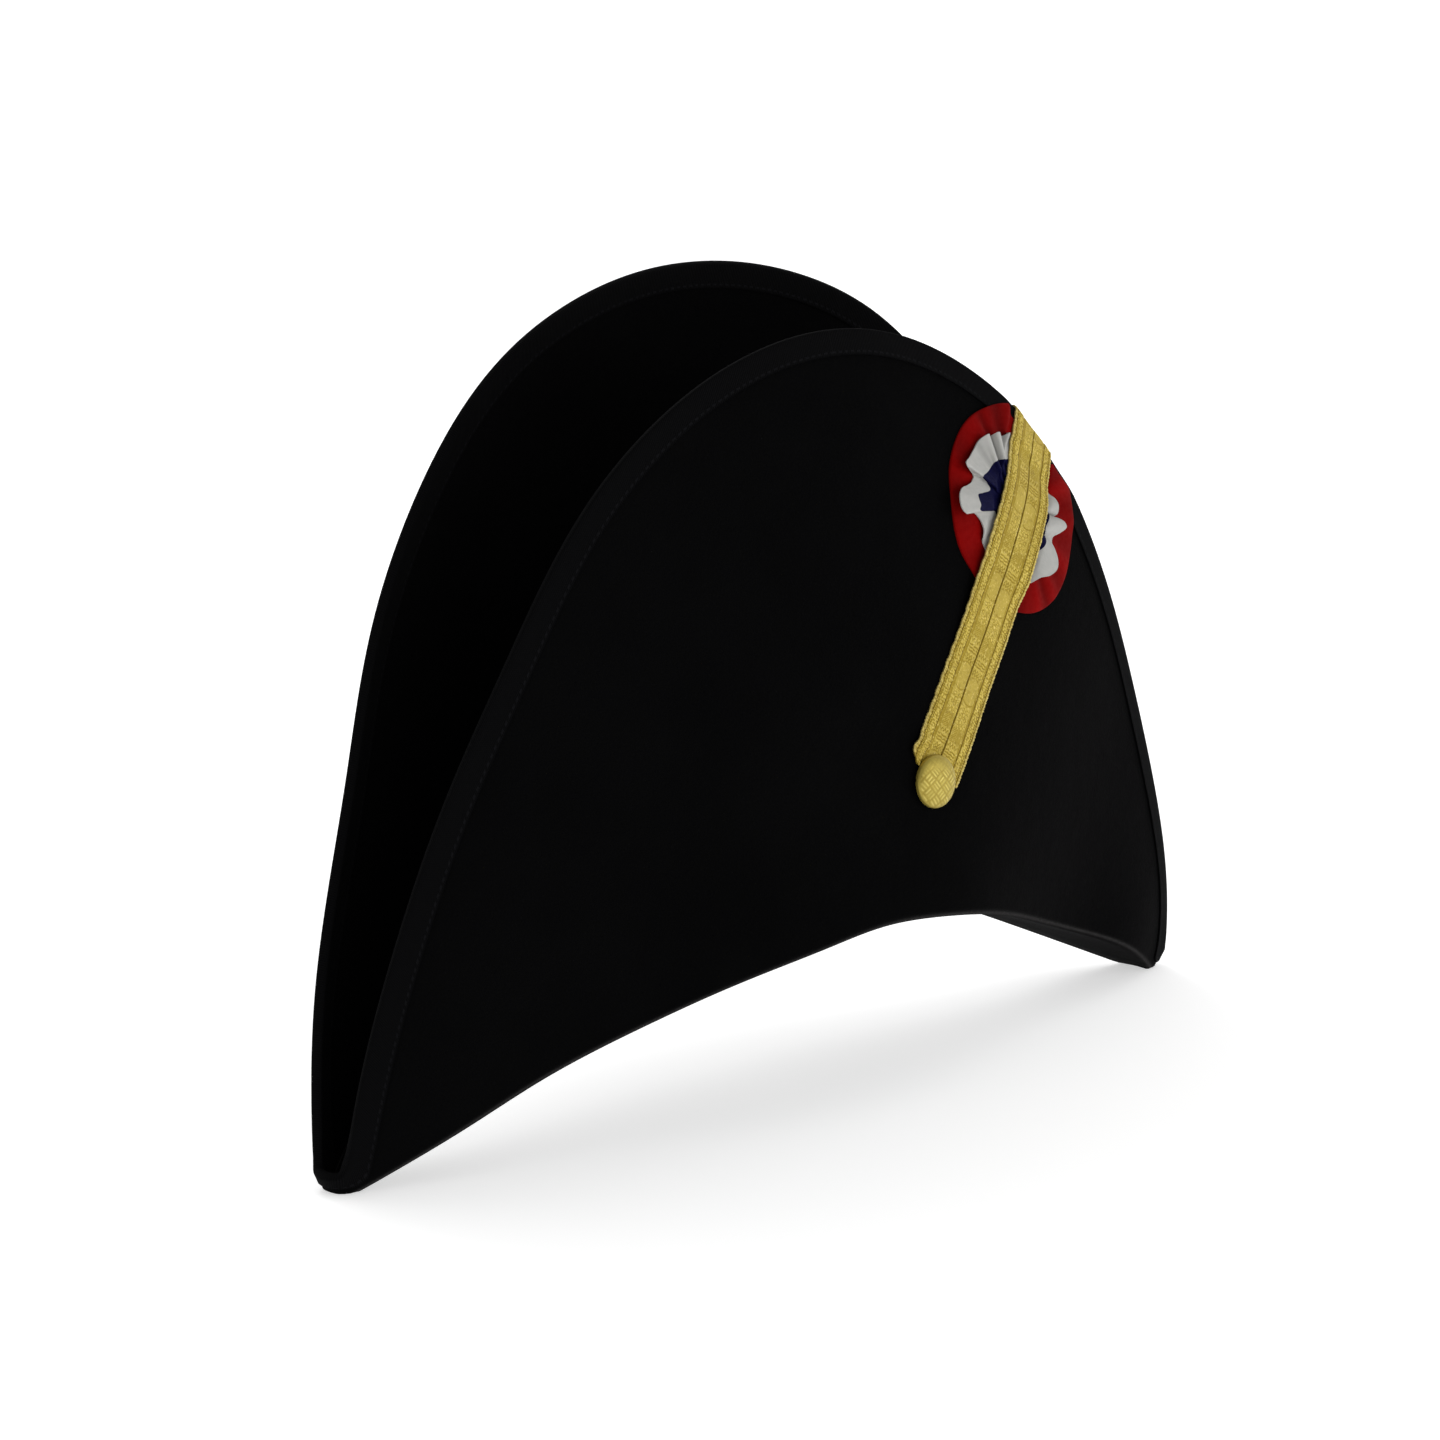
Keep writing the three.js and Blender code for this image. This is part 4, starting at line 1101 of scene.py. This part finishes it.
def make_lace(hand):
    """One run of the lace: from the button up the flap, over the edge and down the inside."""
    columns = np.linspace(0, 1, 62)
    steps, turns, inside_steps = 560, 22, 22
    seam, clear, scallop, width = LACE["seam"], LACE["clear"], RUNS[hand].scallop, RUNS[hand].width
    end_across = lace_shift(150) + hand * (seam + columns * width)
    base_end = along_at_edge(end_across)
    closing = np.linspace(0, 1, steps + 1)
    start = np.interp(columns, *LACE_CORNER) if hand < 0 else 0.2 + 2.2 * columns
    along = mix(start, base_end, closing[:, None])
    uneven = 0.7 + 0.3 * np.sin(along * 1.9) + 0.25 * np.sin(along * 0.73 + 1)
    wave = scallop * (1 - ridge(along / 6.0)) + 0.2 * uneven * ridge(along / 1.45)
    bulge = np.exp(-(((along - 5.0) / 3.2) ** 2)) if hand < 0 else 0
    edge = width + bulge * columns**2 - wave * columns**6
    across = lace_shift(along) + hand * (seam + columns * edge)
    q = width * (1 - columns)
    place = on_front_flap(*strap_place(along, across))
    lift = lace_lift(along) + lace_tilt(along, across) + clear
    if hand < 0:
        lift = lift + puffed(along, across)

    edge_place = on_front_flap(*strap_place(base_end, end_across))
    inside = bed_height(edge_place)
    outside = inside + lace_lift(base_end) + clear
    reach, offset = (outside + inside) / 2, (outside - inside) / 2
    crest = GAP * 2 + BINDING["from_rim"] + BINDING["thickness"]
    arc = math.pi * (crest + reach.mean()) / 2
    angle = math.pi * np.arange(1, turns + 1)[:, None] / turns
    drop = LACE["end"] * np.arange(1, inside_steps + 1)[:, None] / inside_steps

    def over_edge(height):
        """The rows past the edge, a height above the lace's underside: a half turn, then down."""
        over, down = height[-turns - inside_steps : -inside_steps], height[-inside_steps:]
        out = np.concatenate([offset + (reach + over) * np.cos(angle), -inside - down])
        rise = np.concatenate([(crest + over) * np.sin(angle), 0 * down - drop])
        return edge_place.point + times(out, edge_place.outward) + times(rise, edge_place.rise)

    travelled = np.concatenate([along, base_end + arc * angle / math.pi, base_end + arc + drop])
    relief = lace_relief(travelled, q, hand)
    thickness = LACE["thickness"] - LACE["relief"] * (1 - relief) - thinner_edges(q, width)
    under = np.concatenate([raised(place, lift), over_edge(0 * thickness)])
    upper = np.concatenate([raised(place, lift + thickness[: steps + 1]), over_edge(thickness)])
    pattern = Pattern()
    up, low = pattern.add(upper, relief), pattern.add(under, 0.1)
    uv = np.stack(np.broadcast_arrays(travelled, q), axis=-1)
    flip = hand > 0
    pattern.quads(up, uv, flip=flip)
    pattern.quads(low, uv, flip=not flip)
    for end, turned in ((0, True), (-1, False)):
        pattern.side(up[:, end], low[:, end], uv[:, end], 1, flip != turned)
        pattern.side(up[end], low[end], uv[end], 0, flip != turned)
    return pattern


def make_button():
    """A domed button whose face is woven over and under in slanting strands."""
    seat_place = on_front_flap(BUTTON["x"], BUTTON["z"])
    out = seat_place.outward
    side = unit(np.cross(UP, out))
    top = np.cross(out, side)
    base = raised(seat_place, LACE["thickness"] + BUTTON["above_lace"])
    r = np.linspace(0.05, 1, 64)[:, None] * BUTTON["radius"]
    angle = np.linspace(0, math.tau, 200, endpoint=False)
    x, z = r * np.cos(angle), r * np.sin(angle)
    p, q = (x + 0.75 * z) / 4.9 + 0.27, (-0.7 * x + z) / 5.3 + 0.41
    over = (np.floor(p) + np.floor(q)) % 2 < 1
    strands = np.where(over, (3 * q) % 1, (3 * p) % 1)
    ends = np.where(over, p % 1, q % 1)
    woven = np.clip(1 - (2 * strands - 1) ** 2, 0, 1) * smooth(0, 0.22, 0.5 - np.abs(ends - 0.5))
    share = r / BUTTON["radius"]
    fade = 1 - smooth(0.9, 1.0, share)
    strand = np.floor(3 * np.where(over, q, p)) + 7 * np.floor(p) + 13 * np.floor(q)
    uneven = 0.6 + 0.4 * ((np.sin(strand * 12.9898) * 43758.5453) % 1)
    raised_share = mix(1, 0.35, smooth(0.1, 0.8, z / BUTTON["radius"])) * uneven
    relief = mix(0.4, woven, fade * raised_share)
    dome = BUTTON["edge"] + BUTTON["dome"] * np.sqrt(np.maximum(0, 1 - share**2.6))
    height = dome - BUTTON["relief"] * (1 - relief)
    lower = base + times(x, side) + times(z, top)
    pattern = Pattern()
    up, low = pattern.add(lower + times(height, out), relief), pattern.add(lower, 0.2)
    pattern.layers(up, low, np.stack([wrapped(x), wrapped(z)], axis=-1))
    summit = base + out * (BUTTON["edge"] + BUTTON["dome"] - 0.15)
    pattern.tips(summit, base, up, low, (0.6, 0.2))
    pattern.build("gilt_button", button_material(), "button", "button_brass", sharp=80)


# Light, floor and camera

# Place, target and size in metres, power in watts
LIGHTS = {
    "key": ((0.7, -2.3, 1.0), (0.0, 0, 0.15), 1.1, 5.5),
    "low_right": ((1.5, -1.9, 0.35), (0.1, 0, 0.12), 0.8, 5.2),
    "rim": ((0.6, 2.0, 1.8), (0, 0, 0.2), 1.2, 14),
}


def make_lights():
    for name, (place, target, size, power) in LIGHTS.items():
        data = bpy.data.lights.new(name, "AREA")
        data.shape = "DISK"
        data.size = size
        data.energy = power
        light = placed(name, data)
        light.location = place
        direction = Vector(target) - Vector(place)
        light.rotation_euler = direction.to_track_quat("-Z", "Y").to_euler()


def make_floor():
    count, radius, height = 96, 14.0, -0.0001
    turns = [math.tau * i / count for i in range(count)]
    points = [(radius * math.cos(turn), radius * math.sin(turn), height) for turn in turns]
    mesh = bpy.data.meshes.new("floor")
    mesh.from_pydata(points, [], [list(range(count))])
    glow = {"emission_color": WHITE, "emission_strength": 0.55}
    paper = material_nodes("floor_paper").finish(rgb(246, 246, 246), 0.9, specular_ior_level=0.1, **glow)
    mesh.materials.append(paper)
    floor = placed("floor", mesh)


def make_world():
    """A white studio that is brighter behind the hat than in front of it."""
    n = Nodes(bpy.data.worlds.new("studio"), "Background")
    bpy.context.scene.world = n.owner
    inputs = {0: n.new("ShaderNodeTexCoord").outputs["Generated"], 1: (0.67, 0.74, 0)}
    away = n.new("ShaderNodeVectorMath", inputs, operation="DOT_PRODUCT").outputs["Value"]
    n.put(n.inputs["Strength"], n.span(away, -0.3, 0.7, 0.36, 1.0))
    n.put(n.inputs["Color"], WHITE)


# Place in metres, angles in degrees, focal length and picture width in pixels
CAMERA = {"place": (-1.17696, -1.28347, 0.49501), "azimuth": -42.0, "elevation": 11.49, "roll": -1.7}
CAMERA |= {"focal": 4563.5, "picture": 1440}


def make_camera():
    data = bpy.data.cameras.new("camera")
    data.sensor_width = 36
    data.lens = CAMERA["focal"] / CAMERA["picture"] * data.sensor_width
    data.clip_end = 50
    matrix = Matrix.Translation(CAMERA["place"])
    turns = ((CAMERA["azimuth"], "Z"), (90 - CAMERA["elevation"], "X"), (CAMERA["roll"], "Z"))
    for angle, axis in turns:
        matrix @= Matrix.Rotation(math.radians(angle), 4, axis)
    camera = placed("camera", data)
    camera.matrix_world = matrix
    bpy.context.scene.camera = camera


make_binding(*make_felt())
cockade_parts = make_cockade()
gold = lace_material()
for hand, name, node in ((-1, "lace_left", "gold_lace_left"), (1, "lace_right", "gold_lace_right")):
    make_lace(hand).build(name, gold, node, "gold_lace")
make_button()
make_floor()
make_world()
make_lights()
make_camera()
bpy.context.scene.view_settings.view_transform = "Standard"

bpy.context.view_layer.update()
